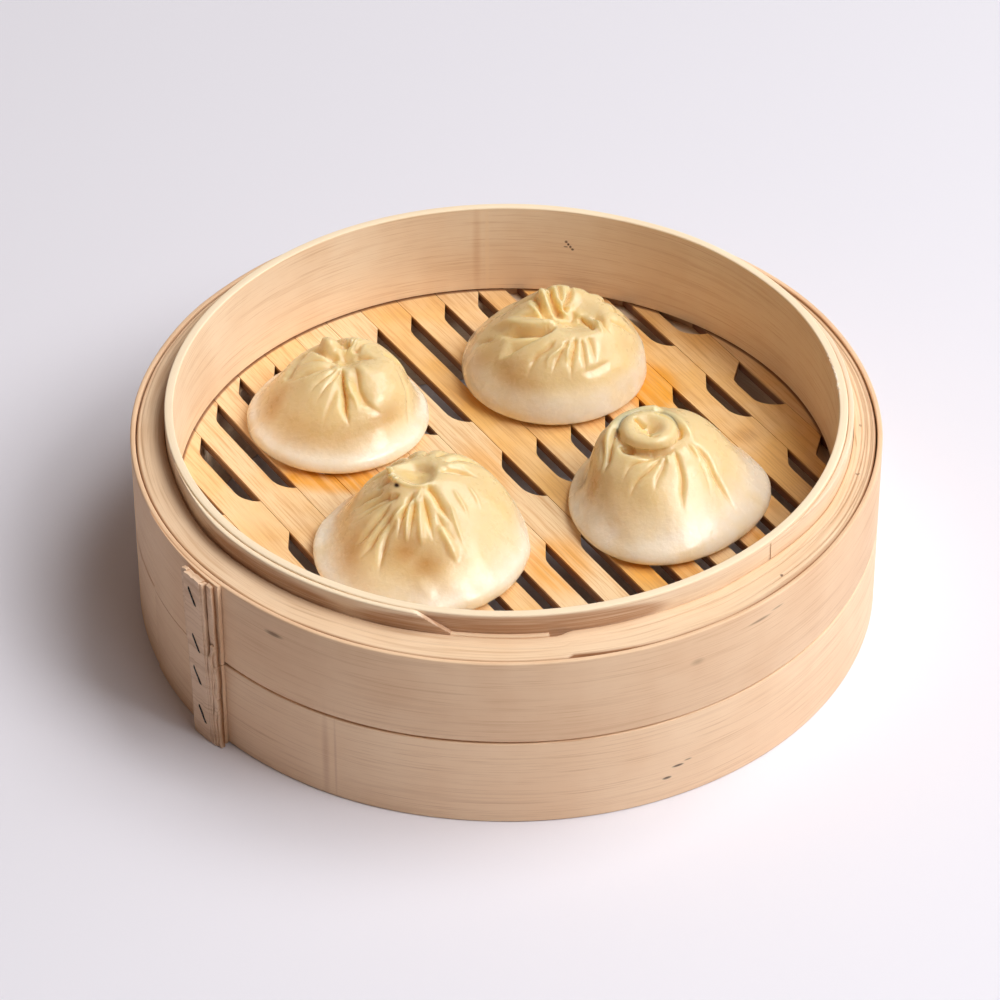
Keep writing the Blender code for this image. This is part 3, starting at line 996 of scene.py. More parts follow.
LEDGE_MARKS = (
    Mark((71.3, -65.4, 53.3), (0.6, 0.6, 0.8), (88, 60, 46), 0.9, 0.6),
    Mark((95.6, -1.5, 53.3), (0.5, 0.8, 0.8), (140, 104, 80), 0.8, 0.6),
    Mark((93.6, -22.7, 53.3), (0.8, 0.6, 0.8), (120, 92, 74), 0.8, 0.6),
    Mark((94.0, -8.0, 53.3), (0.3, 4.5, 0.8), (160, 132, 84), 0.7, 0.7),
)
# Wet bamboo round the dumplings' bases; the orange also paints in the contact shade and the glow from the
# dough there.
WET_AND_SHADE = (240, 164, 50)
WET_AND_SHADE_MARKS = tuple(
    Mark((x, y, FLOOR_TOP), (reach_x, reach_y, 5.0), WET_AND_SHADE, strength, softness)
    for x, y, reach_x, reach_y, strength, softness in (
        (-44.0, 4.0, 22.0, 7.5, 0.95, 0.6),
        (-56.0, 8.0, 16.0, 7.0, 0.6, 0.8),
        (41.0, 46.0, 9.0, 14.0, 1.0, 0.45),
        (30.0, 30.0, 14.0, 8.0, 0.5, 0.7),
        (-6.0, 8.0, 14.0, 22.0, 0.55, 0.8),
        (14.0, -34.0, 12.0, 18.0, 0.75, 0.6),
        (-8.0, 42.0, 10.0, 12.0, 0.5, 0.8),
        (44.0, -36.0, 24.0, 9.0, 0.6, 0.7),
        (68.0, -26.0, 7.0, 12.0, 0.8, 0.6),
        (-62.0, 52.0, 10.0, 10.0, 0.3, 0.9),
    )
)
SLAT_MARKS = (
    Mark((66.2, 24.3, FLOOR_TOP), (6.0, 5.0, 4.0), (178, 116, 66), 0.55, 0.9),
    Mark((-32.0, -64.0, FLOOR_TOP), (8.0, 8.0, 4.0), (250, 226, 180), 0.5, 0.9),
    Mark((-70.0, -12.0, FLOOR_TOP), (12.0, 14.0, 4.0), (246, 214, 164), 0.6, 0.9),
)
OUTER_HOOP = HoopFinish("outer_hoop_bamboo", "bamboo_hoop", (243, 207, 170), (230, 187, 147),
                        (200, 150, 108), marks=OUTER_MARKS, fibre_share=0.46,
                        streak_share=0.2, fibre_pitch=0.3, seed=1.0)
LOWER_HOOP = replace(OUTER_HOOP, name="lower_hoop_bamboo", pale=(250, 216, 180),
                     dark=(240, 200, 162), seed=6.0)
LEDGE = HoopFinish("ledge_bamboo", "bamboo_hoop", (244, 213, 178), (234, 196, 156),
                   (202, 156, 112), marks=LEDGE_MARKS, seed=2.0, fibre_share=0.5,
                   fibre_pitch=0.3)
INNER_HOOP = HoopFinish("inner_hoop_bamboo", "bamboo_hoop", (252, 229, 200), (239, 206, 171),
                        (204, 158, 112), centre_y=INNER_SHIFT, seed=3.0, fibre_share=0.5,
                        streak_share=0.2, fibre_pitch=0.35, crest=INNER_TOP,
                        marks=INNER_MARKS)
TORN = HoopFinish("torn_bamboo", "bamboo_hoop", (255, 246, 232), (248, 226, 200), (226, 190, 150),
                  centre_y=INNER_SHIFT, seed=5.0)
STRAP = HoopFinish("strap_bamboo", "bamboo_strap", (240, 208, 178), (228, 190, 154),
                   (190, 146, 108), seed=4.0, fibre_share=0.5)
SLATS = SlatFinish("slat_bamboo", "bamboo_slat", (247, 214, 168), (240, 188, 114),
                   (204, 144, 82), WET_AND_SHADE, (126, 74, 48), turn=SLAT_DIRECTION,
                   wet_and_shade_marks=WET_AND_SHADE_MARKS, marks=SLAT_MARKS)
DOUGH = DoughFinish("dough", "dumpling_wrapper", cream=(235, 209, 158), yellow=(243, 209, 137),
                    skirt=(243, 229, 208), filling=(208, 160, 98), dirt=(58, 34, 24))
WIRE = WireFinish("staple_steel", "staple_wire", (52, 48, 50), (120, 112, 108))
PAPER = BackdropFinish("backdrop_paper", (233, 231, 239))


# ---- hoops ----
@dataclass
class OuterHoops:
    """The two hoops that make the outside of the basket, and their lapped ends."""

    radius: float = RIM_RADIUS
    wall: float = 1.4
    seam: float = SEAM_HEIGHT
    seam_half: float = 0.1
    top: float = RIM_HEIGHT
    wall_wave: float = 0.0008
    top_wave: float = 0.12
    foot_wave: float = 0.10
    open_seam: float = 0.25
    open_angle: float = -150.0
    open_spread: float = 35.0
    end_angle: float = -136.7
    end_wall: float = 1.1
    end_reach: float = 21.0

    def build(self, shop: Workshop) -> None:
        """Build both hoops and both ends."""
        low, high = self.seam - self.seam_half, self.seam + self.seam_half
        self.add_hoop(shop, "outer_hoop_lower", 0.0, low, LOWER_HOOP)
        self.add_hoop(shop, "outer_hoop_upper", high, self.top, OUTER_HOOP)
        self.add_end(shop, "outer_hoop_lower_end", 0.0, low)
        self.add_end(shop, "outer_hoop_upper_end", high, self.top)

    def add_hoop(self, shop: Workshop, name: str, bottom: float, top: float,
                 finish: HoopFinish) -> None:
        """Bend one hoop with rounded edges and a hand-cut, slightly uneven rim.

        Args:
            shop: the workshop.
            name: the node that it stands for.
            bottom: height of its lower edge.
            top: height of its upper edge.
            finish: its finish.
        """
        inner = self.radius - self.wall
        corners = ((inner, bottom), (self.radius, bottom), (self.radius, top), (inner, top))
        piece = spin_band(f"{name}_wood", corners, rounding=0.45, segments=4, steps=360)
        self.settle(piece, bottom, top)
        shop.hand_over(put_down(piece), finish, name)

    def settle(self, piece: Piece, bottom: float, top: float) -> None:
        """Let the hoop's wall and its edges waver a little, less than the gap between them.

        Args:
            piece: the hoop.
            bottom: height of its lower edge.
            top: height of its upper edge.
        """
        points = read_points(piece)
        flat = points * np.array([1.0, 1.0, 0.15])
        points[:, :2] *= (1.0 - self.wall_wave * (1.0 + Ripple(11, 70.0).at(flat)))[:, None]
        near_top = smooth(points[:, 2], top - 4.0, top)
        near_bottom = 1.0 - smooth(points[:, 2], bottom, bottom + 4.0)
        edge = Ripple(12, 45.0).at(flat)
        points[:, 2] -= near_top * self.top_wave * (1.0 + edge)
        if bottom > 0:
            away = turn_between(directions_of(points), self.open_angle)
            apart = self.open_seam * bell(away, self.open_spread)
            points[:, 2] += near_bottom * (self.foot_wave * (1.0 + edge) + apart)
        write_points(piece, points)

    def add_end(self, shop: Workshop, name: str, bottom: float, top: float) -> None:
        """Bend the lapped end of a hoop, which thins away as it passes behind the strap.

        Args:
            shop: the workshop.
            name: the node that it stands for.
            bottom: height of its lower edge.
            top: height of its upper edge.
        """
        inner = self.radius + 0.05
        corners = ((inner, bottom), (inner + self.end_wall, bottom),
                   (inner + self.end_wall, top), (inner, top))
        piece = spin_band(f"{name}_wood", corners, start=self.end_angle - self.end_reach,
                          sweep=self.end_reach, steps=60, rounding=0.25, segments=3)
        points = read_points(piece)
        angle = directions_of(points)
        share = np.clip(1.0 - turn_between(self.end_angle, angle) / self.end_reach, 0.0, 1.0)
        radius = np.hypot(points[:, 0], points[:, 1])
        wanted = inner + (radius - inner) * (0.08 + 0.92 * share)
        points[:, :2] *= (wanted / radius)[:, None]
        write_points(piece, points)
        shop.hand_over(put_down(piece), OUTER_HOOP, name)


@dataclass(frozen=True)
class Groove:
    """An open line between two of the ledge's strips, over a range of directions.

    At is its share of the way from the rim to the inner hoop.
    """

    at: float
    depth: float
    first: float
    last: float


@dataclass
class Ledge:
    """The middle ring of wound strips, whose top is the ledge inside the rim."""

    outer: float = 99.8
    inner: float = 92.45
    lap_wall: float = 1.62
    top: float = LEDGE_TOP
    notch_start: float = -80.7
    notch_end: float = -66.0
    notch_depth: float = 1.2
    gap: float = 0.12
    worn_edge: float = 0.35
    groove_width: float = 0.17
    grooves: tuple[Groove, ...] = (
        Groove(0.12, 0.22, -75.0, 100.0), Groove(0.24, 0.35, -60.0, 60.0),
        Groove(0.37, 0.22, -30.0, 75.0), Groove(0.50, 0.30, -42.0, 48.0),
        Groove(0.66, 0.20, -85.0, 25.0), Groove(0.30, 0.25, 60.0, 170.0),
        Groove(0.16, 0.20, 120.0, 200.0), Groove(0.60, 0.18, 80.0, 140.0),
        Groove(0.52, 0.12, 225.0, 285.0),
    )

    def build(self, shop: Workshop) -> None:
        """Build the ring."""
        shares = np.concatenate(([0.0, 0.03, 0.08], np.linspace(0.1, 0.9, 33), [0.92, 0.97, 1.0]))
        section = [(self.outer, 0.0)]
        section += [(self.outer - (self.outer - self.inner) * share, self.top) for share in shares]
        section += [(self.inner, 0.0)]
        piece = spin_band("ledge_wood", section, rounding=0.0, steps=360)
        self.shape(piece)
        shop.hand_over(put_down(piece, 60.0), LEDGE, "ledge_ring")

    def inner_edge(self, angle: Array) -> Array:
        """Find the inner edge, which stands back where the inner hoop has a lap.

        Args:
            angle: direction of each point.

        Returns:
            The edge's radius in each direction.
        """
        turn = np.radians(angle)
        front = smooth(angle, -168.0, -146.0) * (1.0 - smooth(angle, -82.0, -79.0))
        side = smooth(angle, -46.0, -22.0) * (1.0 - smooth(angle, 16.0, 37.0))
        inner = self.inner + self.lap_wall * np.maximum(front, side)
        return INNER_SHIFT * np.sin(turn) + np.sqrt(
            inner ** 2 - (INNER_SHIFT * np.cos(turn)) ** 2)

    def outer_edge(self, angle: Array) -> Array:
        """Find the outer edge, with the notch past the outer strip's end.

        Args:
            angle: direction of each point.

        Returns:
            The edge's radius in each direction.
        """
        away = (self.notch_end - angle) / (self.notch_end - self.notch_start)
        outer = self.outer - np.where((away > 0) & (away < 1), self.notch_depth * away, 0.0)
        return outer - self.gap * bell(turn_between(angle, 10.0), 50.0)

    def press(self, angle: Array, share: Array,
              width: Array) -> tuple[Array, Array]:
        """Press the grooves in and paint shade along them.

        Args:
            angle: direction of each point.
            share: its share of the way across the ledge.
            width: the ledge's width in its direction.

        Returns:
            How far each point sinks, and how much painted shade it takes, from 0 to 1.
        """
        turn = np.radians(angle)
        drop = self.worn_edge * (1.0 - smooth(share * width, 0.0, 0.5))
        drop += self.worn_edge * (1.0 - smooth((1.0 - share) * width, 0.0, 0.5))
        dark = np.zeros_like(angle)
        for groove_and_shade in self.grooves:
            middle, half = (groove_and_shade.first + groove_and_shade.last) / 2, (groove_and_shade.last - groove_and_shade.first) / 2
            there = 1.0 - smooth(np.abs(turn_between(angle, middle)), half * 0.6, half)
            wander = 0.03 * np.sin(turn * 5.0 + groove_and_shade.at * 20.0)
            wander += 0.012 * np.sin(turn * 17.0 + groove_and_shade.at * 9.0)
            there = there * bell((share - groove_and_shade.at - wander) * width, self.groove_width)
            drop += groove_and_shade.depth * there
            # Painted shade along each groove, the darker the deeper it is.
            dark = np.maximum(dark, there * groove_and_shade.depth * 1.5)
        return drop, dark

    def shape(self, piece: Piece) -> None:
        """Move both edges into place, press the grooves in and paint shade along the grooves, the inner
        hoop's shadow on the left and a dark line at the outer edge.

        Args:
            piece: the round ring.
        """
        points = read_points(piece)
        radius = np.hypot(points[:, 0], points[:, 1])
        angle = directions_of(points)
        share = (self.outer - radius) / (self.outer - self.inner)
        outer, far = self.outer_edge(angle), self.inner_edge(angle)
        points[:, :2] *= ((outer + (far - outer) * share) / radius)[:, None]
        width = outer - far
        top = points[:, 2] > 1.0
        drop, dark = self.press(angle, share, width)
        # Painted shadow that the inner hoop casts on the left of the ledge, darkest next to the hoop.
        left = bell(turn_between(angle, -160.0), 55.0)
        foot = 0.45 * left * (1.0 - smooth((1.0 - share) * width, 0.3, 3.6))
        # A dark line along the outer edge, where the ledge meets the outer hoop.
        edge = 0.9 * (1.0 - smooth(share * width, 0.1, 0.5))
        dark = np.maximum(np.maximum(dark, foot), edge)
        # The ledge's sides face the hoops across narrow gaps and take the full painted shade.
        write_values(piece, "groove_and_shade", np.where(top, dark, 1.0))
        drop += 0.10 * (1.0 + Ripple(21, 30.0).at(points * np.array([1.0, 1.0, 0.0])))
        points[:, 2] -= np.where(top, drop, 0.0)
        write_points(piece, points)


@dataclass(frozen=True)
class Lap:
    """A partial turn of bamboo outside the inner hoop.

    Thin_start and thin_end are the degrees over which its ends thin away. A slanted lap's
    last end is cut down to the ledge over some degrees.
    """

    node: str
    first: float
    last: float
    top: float
    finish: HoopFinish
    thin_start: float = 0.0
    thin_end: float = 0.0
    slant: float = 0.0


@dataclass
class InnerHoop:
    """The raised inner hoop, its lapped turns and the filler strip outside it."""

    centre: Plan = INNER_CENTRE
    radius: float = INNER_RADIUS
    wall: float = INNER_WALL
    bottom: float = 30.7
    top: float = INNER_TOP
    lap_gap: float = 0.12
    lap_wall: float = 1.5
    lap_bottom: float = LEDGE_TOP - 8.0
    lap_end_share: float = 0.08
    laps: tuple[Lap, ...] = (
        Lap("inner_hoop_front_lap", -162.0, -98.8, INNER_TOP - 0.2, INNER_HOOP,
            thin_start=22.0, slant=5.6),
        Lap("inner_hoop_side_lap", -42.0, 32.0, INNER_TOP - 0.8, INNER_HOOP,
            thin_start=22.0, thin_end=18.0),
        Lap("ledge_filler_strip", -103.5, -83.3, LEDGE_TOP, LEDGE),
    )

    def build(self, shop: Workshop) -> None:
        """Build the hoop, both laps and the filler."""
        self.add_ring(shop)
        for lap in self.laps:
            self.add_lap(shop, lap)

    def add_ring(self, shop: Workshop) -> None:
        """Bend the full hoop, its top worn round and slightly wavy.

        Args:
            shop: the workshop.
        """
        outer = self.radius + self.wall
        corners = ((self.radius, self.bottom), (outer, self.bottom),
                   (outer, self.top), (self.radius, self.top))
        piece = spin_band("inner_hoop_wood", corners, self.centre, rounding=0.4, segments=4,
                          steps=360)
        points = read_points(piece)
        wave = Ripple(31, 60.0).at(points * np.array([1.0, 1.0, 0.1]))
        points[:, 2] -= smooth(points[:, 2], 50.0, self.top) * 0.12 * (1.0 + wave)
        write_points(piece, points)
        shop.hand_over(put_down(piece), INNER_HOOP, "inner_hoop")

    def add_lap(self, shop: Workshop, lap: Lap) -> None:
        """Bend one partial turn and finish its ends.

        Args:
            shop: the workshop.
            lap: the turn.
        """
        inner = self.radius + self.wall + self.lap_gap
        outer, bottom = inner + self.lap_wall, self.lap_bottom
        corners = ((inner, bottom), (outer, bottom), (outer, lap.top), (inner, lap.top))
        sweep = lap.last - lap.first
        piece = spin_band(f"{lap.node}_wood", corners, self.centre, lap.first, sweep,
                          max(12, int(sweep * 1.5)), rounding=0.4, segments=3)
        points = read_points(piece)
        angle = directions_of(points, self.centre)
        if lap.slant:
            fall = np.clip((angle - lap.last) / lap.slant + 1.0, 0.0, 1.0)
            ceiling = lap.top - fall * (lap.top - LEDGE_TOP - 0.3)
            share = np.clip((points[:, 2] - bottom) / (lap.top - bottom), 0.0, 1.0)
            points[:, 2] = np.minimum(points[:, 2], bottom + share * (ceiling - bottom))
        if lap.thin_start:
            self.feather(points, angle, inner, lap)
        wave = Ripple(32, 40.0).at(points * np.array([1.0, 1.0, 0.1]))
        points[:, 2] -= smooth(points[:, 2], lap.top - 3.0, lap.top) * 0.1 * (1.0 + wave)
        write_points(piece, points)
        shop.hand_over(put_down(piece), lap.finish, lap.node)

    def feather(self, points: Array, angle: Array, inner: float, lap: Lap) -> None:
        """Thin a lap away toward its ends.

        Args:
            points: its points, which are moved.
            angle: direction of each point.
            inner: radius of its inner face.
            lap: the turn.
        """
        keep = smooth(angle, lap.first, lap.first + lap.thin_start)
        if lap.thin_end:
            keep = keep * (1.0 - smooth(angle, lap.last - lap.thin_end, lap.last))
        offset = points[:, :2] - np.array(self.centre)
        radius = np.linalg.norm(offset, axis=1)
        share = self.lap_end_share + (1.0 - self.lap_end_share) * keep
        wanted = inner + (radius - inner) * share
        points[:, :2] = np.array(self.centre) + offset * (wanted / radius)[:, None]


@dataclass
class TornFibres:
    """Pale fibres that stand up where the inner hoop's top edge is torn."""

    centre: Plan = INNER_CENTRE
    radius: float = 90.1
    height: float = 58.9
    first: float = 0.5
    last: float = 13.0
    count: int = 44

    def build(self, shop: Workshop) -> None:
        """Scatter short tapering slivers along the torn edge."""
        draw = np.random.default_rng(17)
        deselect_all()
        bpy.ops.mesh.primitive_plane_add(size=1.0)
        piece = start_piece("inner_hoop_torn_fibres")
        bpy.ops.object.mode_set(mode="EDIT")
        select_everything()
        bpy.ops.mesh.delete(type="VERT")
        for _ in range(self.count):
            angle = draw.uniform(self.first, self.last)
            x, y = polar(self.radius + draw.uniform(-0.15, 0.3), angle, self.centre)
            z = self.height + draw.uniform(-0.3, 0.15)
            lean = math.radians(draw.uniform(50.0, 95.0))
            turn = math.radians(angle + 90.0 + draw.uniform(-30.0, 30.0))
            bpy.ops.mesh.primitive_cone_add(
                vertices=6, radius1=draw.uniform(0.14, 0.30) * MM, radius2=0.04 * MM,
                depth=draw.uniform(0.5, 1.5) * MM, location=(x * MM, y * MM, z * MM),
                rotation=(0.0, lean, turn))
        bpy.ops.object.mode_set(mode="OBJECT")
        shop.hand_over(put_down(piece), TORN)


# ---- floor ----
@dataclass
class SlattedFloor:
    """Straight slats side by side, with slots routed into one side of each."""

    direction: float = SLAT_DIRECTION
    first_seam: float = -82.0
    pitch: float = 11.27
    seams: int = 16
    radius: float = FLOOR_RADIUS
    shift: float = INNER_SHIFT
    top: float = FLOOR_TOP
    thickness: float = 3.0
    slot_depth: float = 4.2
    last_depth: float = 6.5
    slot_rows: tuple[tuple[float, float], ...] = ((-83.0, -31.0), (-15.3, 8.2), (25.3, 77.0))
    field_radius: float = 98.0
    field_shift: float = 14.0
    head: float = 9.0
    tail: float = 7.0
    curve_steps: int = 8
    end_point: float = 0.38
    joint_half: float = 0.1

    def plan_point(self, across: float, along: float) -> Plan:
        """Turn a place across and along the slats into a plan point."""
        turn = math.radians(self.direction)
        east, north = math.cos(turn), math.sin(turn)
        return across * -north + along * east, across * east + along * north

    def chord(self, across: float) -> Plan:
        """Return where a line along the slats enters and leaves the floor's circle."""
        turn = math.radians(self.direction)
        offset = across - self.shift * math.cos(turn)
        middle = self.shift * math.sin(turn)
        half = math.sqrt(max(self.radius ** 2 - offset ** 2, 0.0))
        return middle - half, middle + half

    def spans(self, seam: float) -> list[Plan]:
        """Find the slots beside a joint.

        Args:
            seam: where the joint lies across the slats.

        Returns:
            The start and end of each slot that is long enough.
        """
        offset = seam - self.field_shift
        half = math.sqrt(max(self.field_radius ** 2 - offset ** 2, 0.0))
        found = []
        for start, end in self.slot_rows:
            start, end = max(start, -half), min(end, half)
            if end - start > self.head + self.tail + 1.0:
                found.append((start, end))
        return found

    def slotted_side(self, high: float, depth: float) -> list[Plan]:
        """Draw the slat's far side from its end back to its start, slots included.

        Args:
            high: where that side lies across the slats.
            depth: how deep the slots are.

        Returns:
            Places across and along the slats.
        """
        side_start, side_end = self.chord(high)
        deep_start, deep_end = self.chord(high - depth)
        spans = self.spans(high)
        points = [(high, side_end)] if spans[-1][1] < side_end else []
        shares = [i / self.curve_steps for i in range(self.curve_steps + 1)]
        for start, end in reversed(spans):
            if end < side_end:
                for share in shares:
                    points.append((high - depth * math.sin(share * math.pi / 2) ** 0.9,
                                   end - self.tail * share ** 1.25))
            else:
                points.append((high - depth, deep_end))
            if start > side_start:
                for share in reversed(shares):
                    fall = min(1.0, share * 1.45) * 0.8 + 0.2 * share
                    points.append((high - depth * fall, start + self.head * share))
            else:
                points.append((high - depth, deep_start))
        if spans[0][0] > side_start:
            points.append((high, side_start))
        return points

    def outline(self, low: float, high: float, depth: float) -> list[Plan]:
        """Draw one slat.

        Args:
            low: where its near side lies across the slats.
            high: where its far side lies.
            depth: how deep its slots are, or 0 for none.

        Returns:
            Its plan outline.
        """
        middle = low + (high - low) * self.end_point
        low_ends, mid_ends, high_ends = (self.chord(v) for v in (low, middle, high))
        points = [(low, low_ends[0]), (low, low_ends[1]), (middle, mid_ends[1])]
        if depth:
            points += self.slotted_side(high, depth)
        else:
            points += [(high, high_ends[1]), (high, high_ends[0])]
        points.append((middle, mid_ends[0]))
        return [self.plan_point(*point) for point in points]

    def build(self, shop: Workshop) -> None:
        """Build every slat, each with its own tone."""
        draw = np.random.default_rng(5)
        middle = self.shift * math.cos(math.radians(self.direction))
        edge = self.radius - 1.0
        joints = [self.first_seam + self.pitch * i for i in range(self.seams)]
        sides = [middle - edge] + joints + [middle + edge]
        for index, (low, high) in enumerate(zip(sides, sides[1:]), start=1):
            depth = self.slot_depth if high in joints else 0.0
            if high == joints[-1]:
                depth = self.last_depth
            outline = self.outline(low + self.joint_half, high - self.joint_half, depth)
            name = f"floor_slat_{index:02d}"
            piece = extrude_plate(f"{name}_wood", outline, self.top - self.thickness, self.top,
                                  0.3)
            points = read_points(piece)
            write_values(piece, "tone", np.full(len(points), draw.uniform(0.0, 0.9)))
            shop.hand_over(put_down(piece), SLATS, name)


@dataclass
class FloorSupport:
    """The plain hoop that carries the slats from below."""

    outer: float = FLOOR_RADIUS
    wall: float = 6.0
    top: float = FLOOR_TOP - 3.3
    centre: Plan = INNER_CENTRE

    def build(self, shop: Workshop) -> None:
        """Bend the hoop."""
        inner = self.outer - self.wall
        corners = ((inner, 0.0), (self.outer, 0.0), (self.outer, self.top), (inner, self.top))
        piece = spin_band("floor_support_wood", corners, self.centre, rounding=0.5, segments=3,
                          steps=240)
        shop.hand_over(put_down(piece), INNER_HOOP, "floor_support_hoop")


# ---- strap ----
@dataclass(frozen=True)
class Layer:
    """One split strip of the strap.

    Left and right are shares of the strap's width and low and high shares of its height.
    Sunk is how far its face lies behind the strap's, and ragged how far its edges wander.
    """

    name: str
    left: float
    right: float
    low: float
    sunk: float
    seed: int
    ragged: float
    high: float = 1.0


@dataclass
class Strap:
    """The upright strap of split bamboo over the lapped ends, held by wire staples."""

    angle: float = -141.0
    near: float = 103.2
    wall: float = 2.0
    top: float = RIM_HEIGHT
    left_top: float = -5.5
    left_foot: float = -4.0
    width: float = 12.4
    sunk_back: float = 0.3
    rows: int = 40
    columns: int = 8
    staples: tuple[Plan, ...] = ((0.0, 47.3), (0.8, 32.0), (0.6, 20.9), (2.0, 8.4))
    staple_length: float = 6.4
    staple_radius: float = 0.24
    staple_slant: float = 31.0
    layers: tuple[Layer, ...] = (
        Layer("wood", 0.14, 0.72, 0.0, 0.0, 41, 0.08),
        Layer("back_layer", 0.0, 0.2, 0.56, 0.8, 44, 0.15),
        Layer("pale_layer", 0.705, 0.79, 0.0, 0.25, 47, 0.16),
        Layer("split_layer", 0.77, 0.86, 0.0, 0.4, 50, 0.30, 0.56),
        Layer("torn_layer", 0.84, 0.93, 0.0, 0.7, 53, 0.36, 0.64),
        Layer("frayed_layer", 0.91, 0.99, 0.0, 1.0, 59, 0.30, 0.5),
        Layer("edge_layer", 0.82, 0.98, 0.3, 1.3, 56, 0.12),
    )

    def place(self, local: Array) -> Array:
        """Turn places across the strap, outward and up into places on the basket."""
        turn = math.radians(self.angle)
        east, north = math.cos(turn), math.sin(turn)
        across, out, up = local.T
        return np.stack([east * out - north * across, north * out + east * across, up], axis=1)

    def strip(self, layer: Layer) -> Piece:
        """Split one strip of the strap.

        Args:
            layer: where the strip lies and how uneven it is.

        Returns:
            The strip.
        """
        deselect_all()
        bpy.ops.mesh.primitive_cube_add(size=1.0)
        piece = start_piece(f"joint_strap_{layer.name}")
        bpy.ops.object.mode_set(mode="EDIT")
        select_everything()
        bpy.ops.mesh.bevel(offset=0.06, segments=3, affect="EDGES")
        heights = [step / self.rows - 0.5 for step in range(1, self.rows)]
        saw_across(heights, (0.0, 0.0, 1.0))
        widths = [step / self.columns - 0.5 for step in range(1, self.columns)]
        saw_across(widths, (1.0, 0.0, 0.0))
        bpy.ops.object.mode_set(mode="OBJECT")
        unit = read_points(piece) * MM
        share_up = unit[:, 2] + 0.5
        share_side = unit[:, 0] + 0.5
        share_out = unit[:, 1] + 0.5
        share_up = layer.low + (layer.high - layer.low) * share_up
        up = share_up * (self.top - 0.1)
        edge = self.left_foot + (self.left_top - self.left_foot) * share_up
        line = np.stack([np.zeros_like(up), np.zeros_like(up), up], axis=1)
        wander = Ripple(layer.seed, 12.0).at(line) * layer.ragged
        side = layer.left + (layer.right - layer.left) * share_side
        across = edge + side * self.width + wander * np.abs(2 * share_side - 1)
        depth = self.wall + self.sunk_back - layer.sunk
        out = self.near - self.sunk_back + depth * share_out
        grain = Ripple(layer.seed + 1, 3.0).at(np.stack([across * 2.0, out * 0, up * 0.12], axis=1))
        out += np.where(share_out > 0.5, grain * 0.06, 0.0)
        ragged_top = Ripple(layer.seed + 2, 1.6).at(np.stack([across, out, up * 0], axis=1))
        up -= smooth(share_up, 0.97, 1.0) * 0.2 * (1.0 + ragged_top)
        write_points(piece, self.place(np.stack([across, out, up], axis=1)))
        # Painted shade on the back part of each strip's sides, where the strips lie against each other
        # and the basket.
        hidden = smooth(np.abs(2.0 * share_side - 1.0), 0.8, 1.0)
        write_values(piece, "groove_and_shade", hidden * (1.0 - smooth(share_out, 0.7, 1.0)))
        return put_down(piece)

    def staple(self, index: int, across_strap: float, height: float) -> Piece:
        """Bend one staple, its two ends pressed into the wood.

        Args:
            index: its number, from the top.
            across_strap: where its middle lies across the strap.
            height: height of its middle.

        Returns:
            The staple.
        """
        deselect_all()
        bpy.ops.mesh.primitive_cylinder_add(vertices=12, radius=1.0, depth=2.0)
        piece = start_piece(f"strap_staple_{index}_wire")
        bpy.ops.object.mode_set(mode="EDIT")
        saw_across([step / 8 - 1.0 for step in range(1, 16)], (0.0, 0.0, 1.0))
        bpy.ops.object.mode_set(mode="OBJECT")
        unit = read_points(piece) * MM
        slant = math.radians(self.staple_slant)
        half = self.staple_length / 2
        dip = np.maximum(np.abs(unit[:, 2]) - 0.7, 0.0) / 0.3
        radius = self.staple_radius * (1.0 - 0.35 * dip)
        across = across_strap + unit[:, 2] * half * math.sin(slant) + unit[:, 0] * radius
        up = height - unit[:, 2] * half * math.cos(slant)
        face = self.near + self.wall + 0.1
        out = face + unit[:, 1] * radius - dip ** 2 * 0.5
        write_points(piece, self.place(np.stack([across, out, up], axis=1)))
        return put_down(piece, 60.0)

    def build(self, shop: Workshop) -> None:
        """Build the strap's layers and its staples."""
        for layer in self.layers:
            shop.hand_over(self.strip(layer), STRAP, "joint_strap")
        for index, (across, height) in enumerate(self.staples, start=1):
            shop.hand_over(self.staple(index, across, height), WIRE, f"strap_staple_{index}")


# ---- dumplings ----
@dataclass(frozen=True)
class Fold:
    """A ridge drawn over the dough along a path, or a crease where the height is negative.

    Each point of the path is a direction and a share of the way up to the knot. The fold
    reaches as far as left on the left of its path and as far as right on its right, so
    unequal reaches make it lean over. The ends are the shares of the path over which it
    grows and dies away. An edge of 1 is a sharp fold and one of 2 a round fold.
    """

    path: tuple[Plan, ...]
    height: float
    left: float
    right: float
    # Share of painted glow that the fold gives the dough.
    yellow: float = 0.0
    ends: Plan = (0.1, 0.5)
    edge: float = 2.0


@dataclass(frozen=True)
class Patch:
    """A soft round place on the dough: a swelling, a dent, filling that shows, or dirt."""

    angle: float
    rise: float
    amount: float
    spread: float
    tall: float

    def at(self, angle: Array, rise: Array) -> Array:
        """Return the patch's amount at each direction and share of the way up."""
        there = bell(turn_between(angle, self.angle), self.spread)
        return self.amount * there * bell(rise - self.rise, self.tall)


@dataclass(frozen=True)
class Frill:
    """A flared piece of dough round the knot."""

    angle: float
    spread: float
    start: float
    end: float
    push: float
    lift: float


def pleats(angles: tuple[float, ...], top: float, foot: float, depth: float,
           turn: float = 0.0, reach: float = 0.8) -> tuple[Fold, ...]:
    """Draw creases that run down from the knot.

    Args:
        angles: direction of each crease's foot.
        top: share of the way up where they start.
        foot: share of the way up where they end.
        depth: how deep they are.
        turn: how much further round their tops lie.
        reach: how far a crease reaches to each side.

    Returns:
        The folds.
    """
    middle = (top + foot) / 2.0
    return tuple(
        Fold(((angle + turn, top), (angle + turn * 0.5, middle), (angle, foot)), -depth,
             reach, reach * 1.6, 0.5, (0.15, 0.5), 1.2)
        for angle in angles
    )


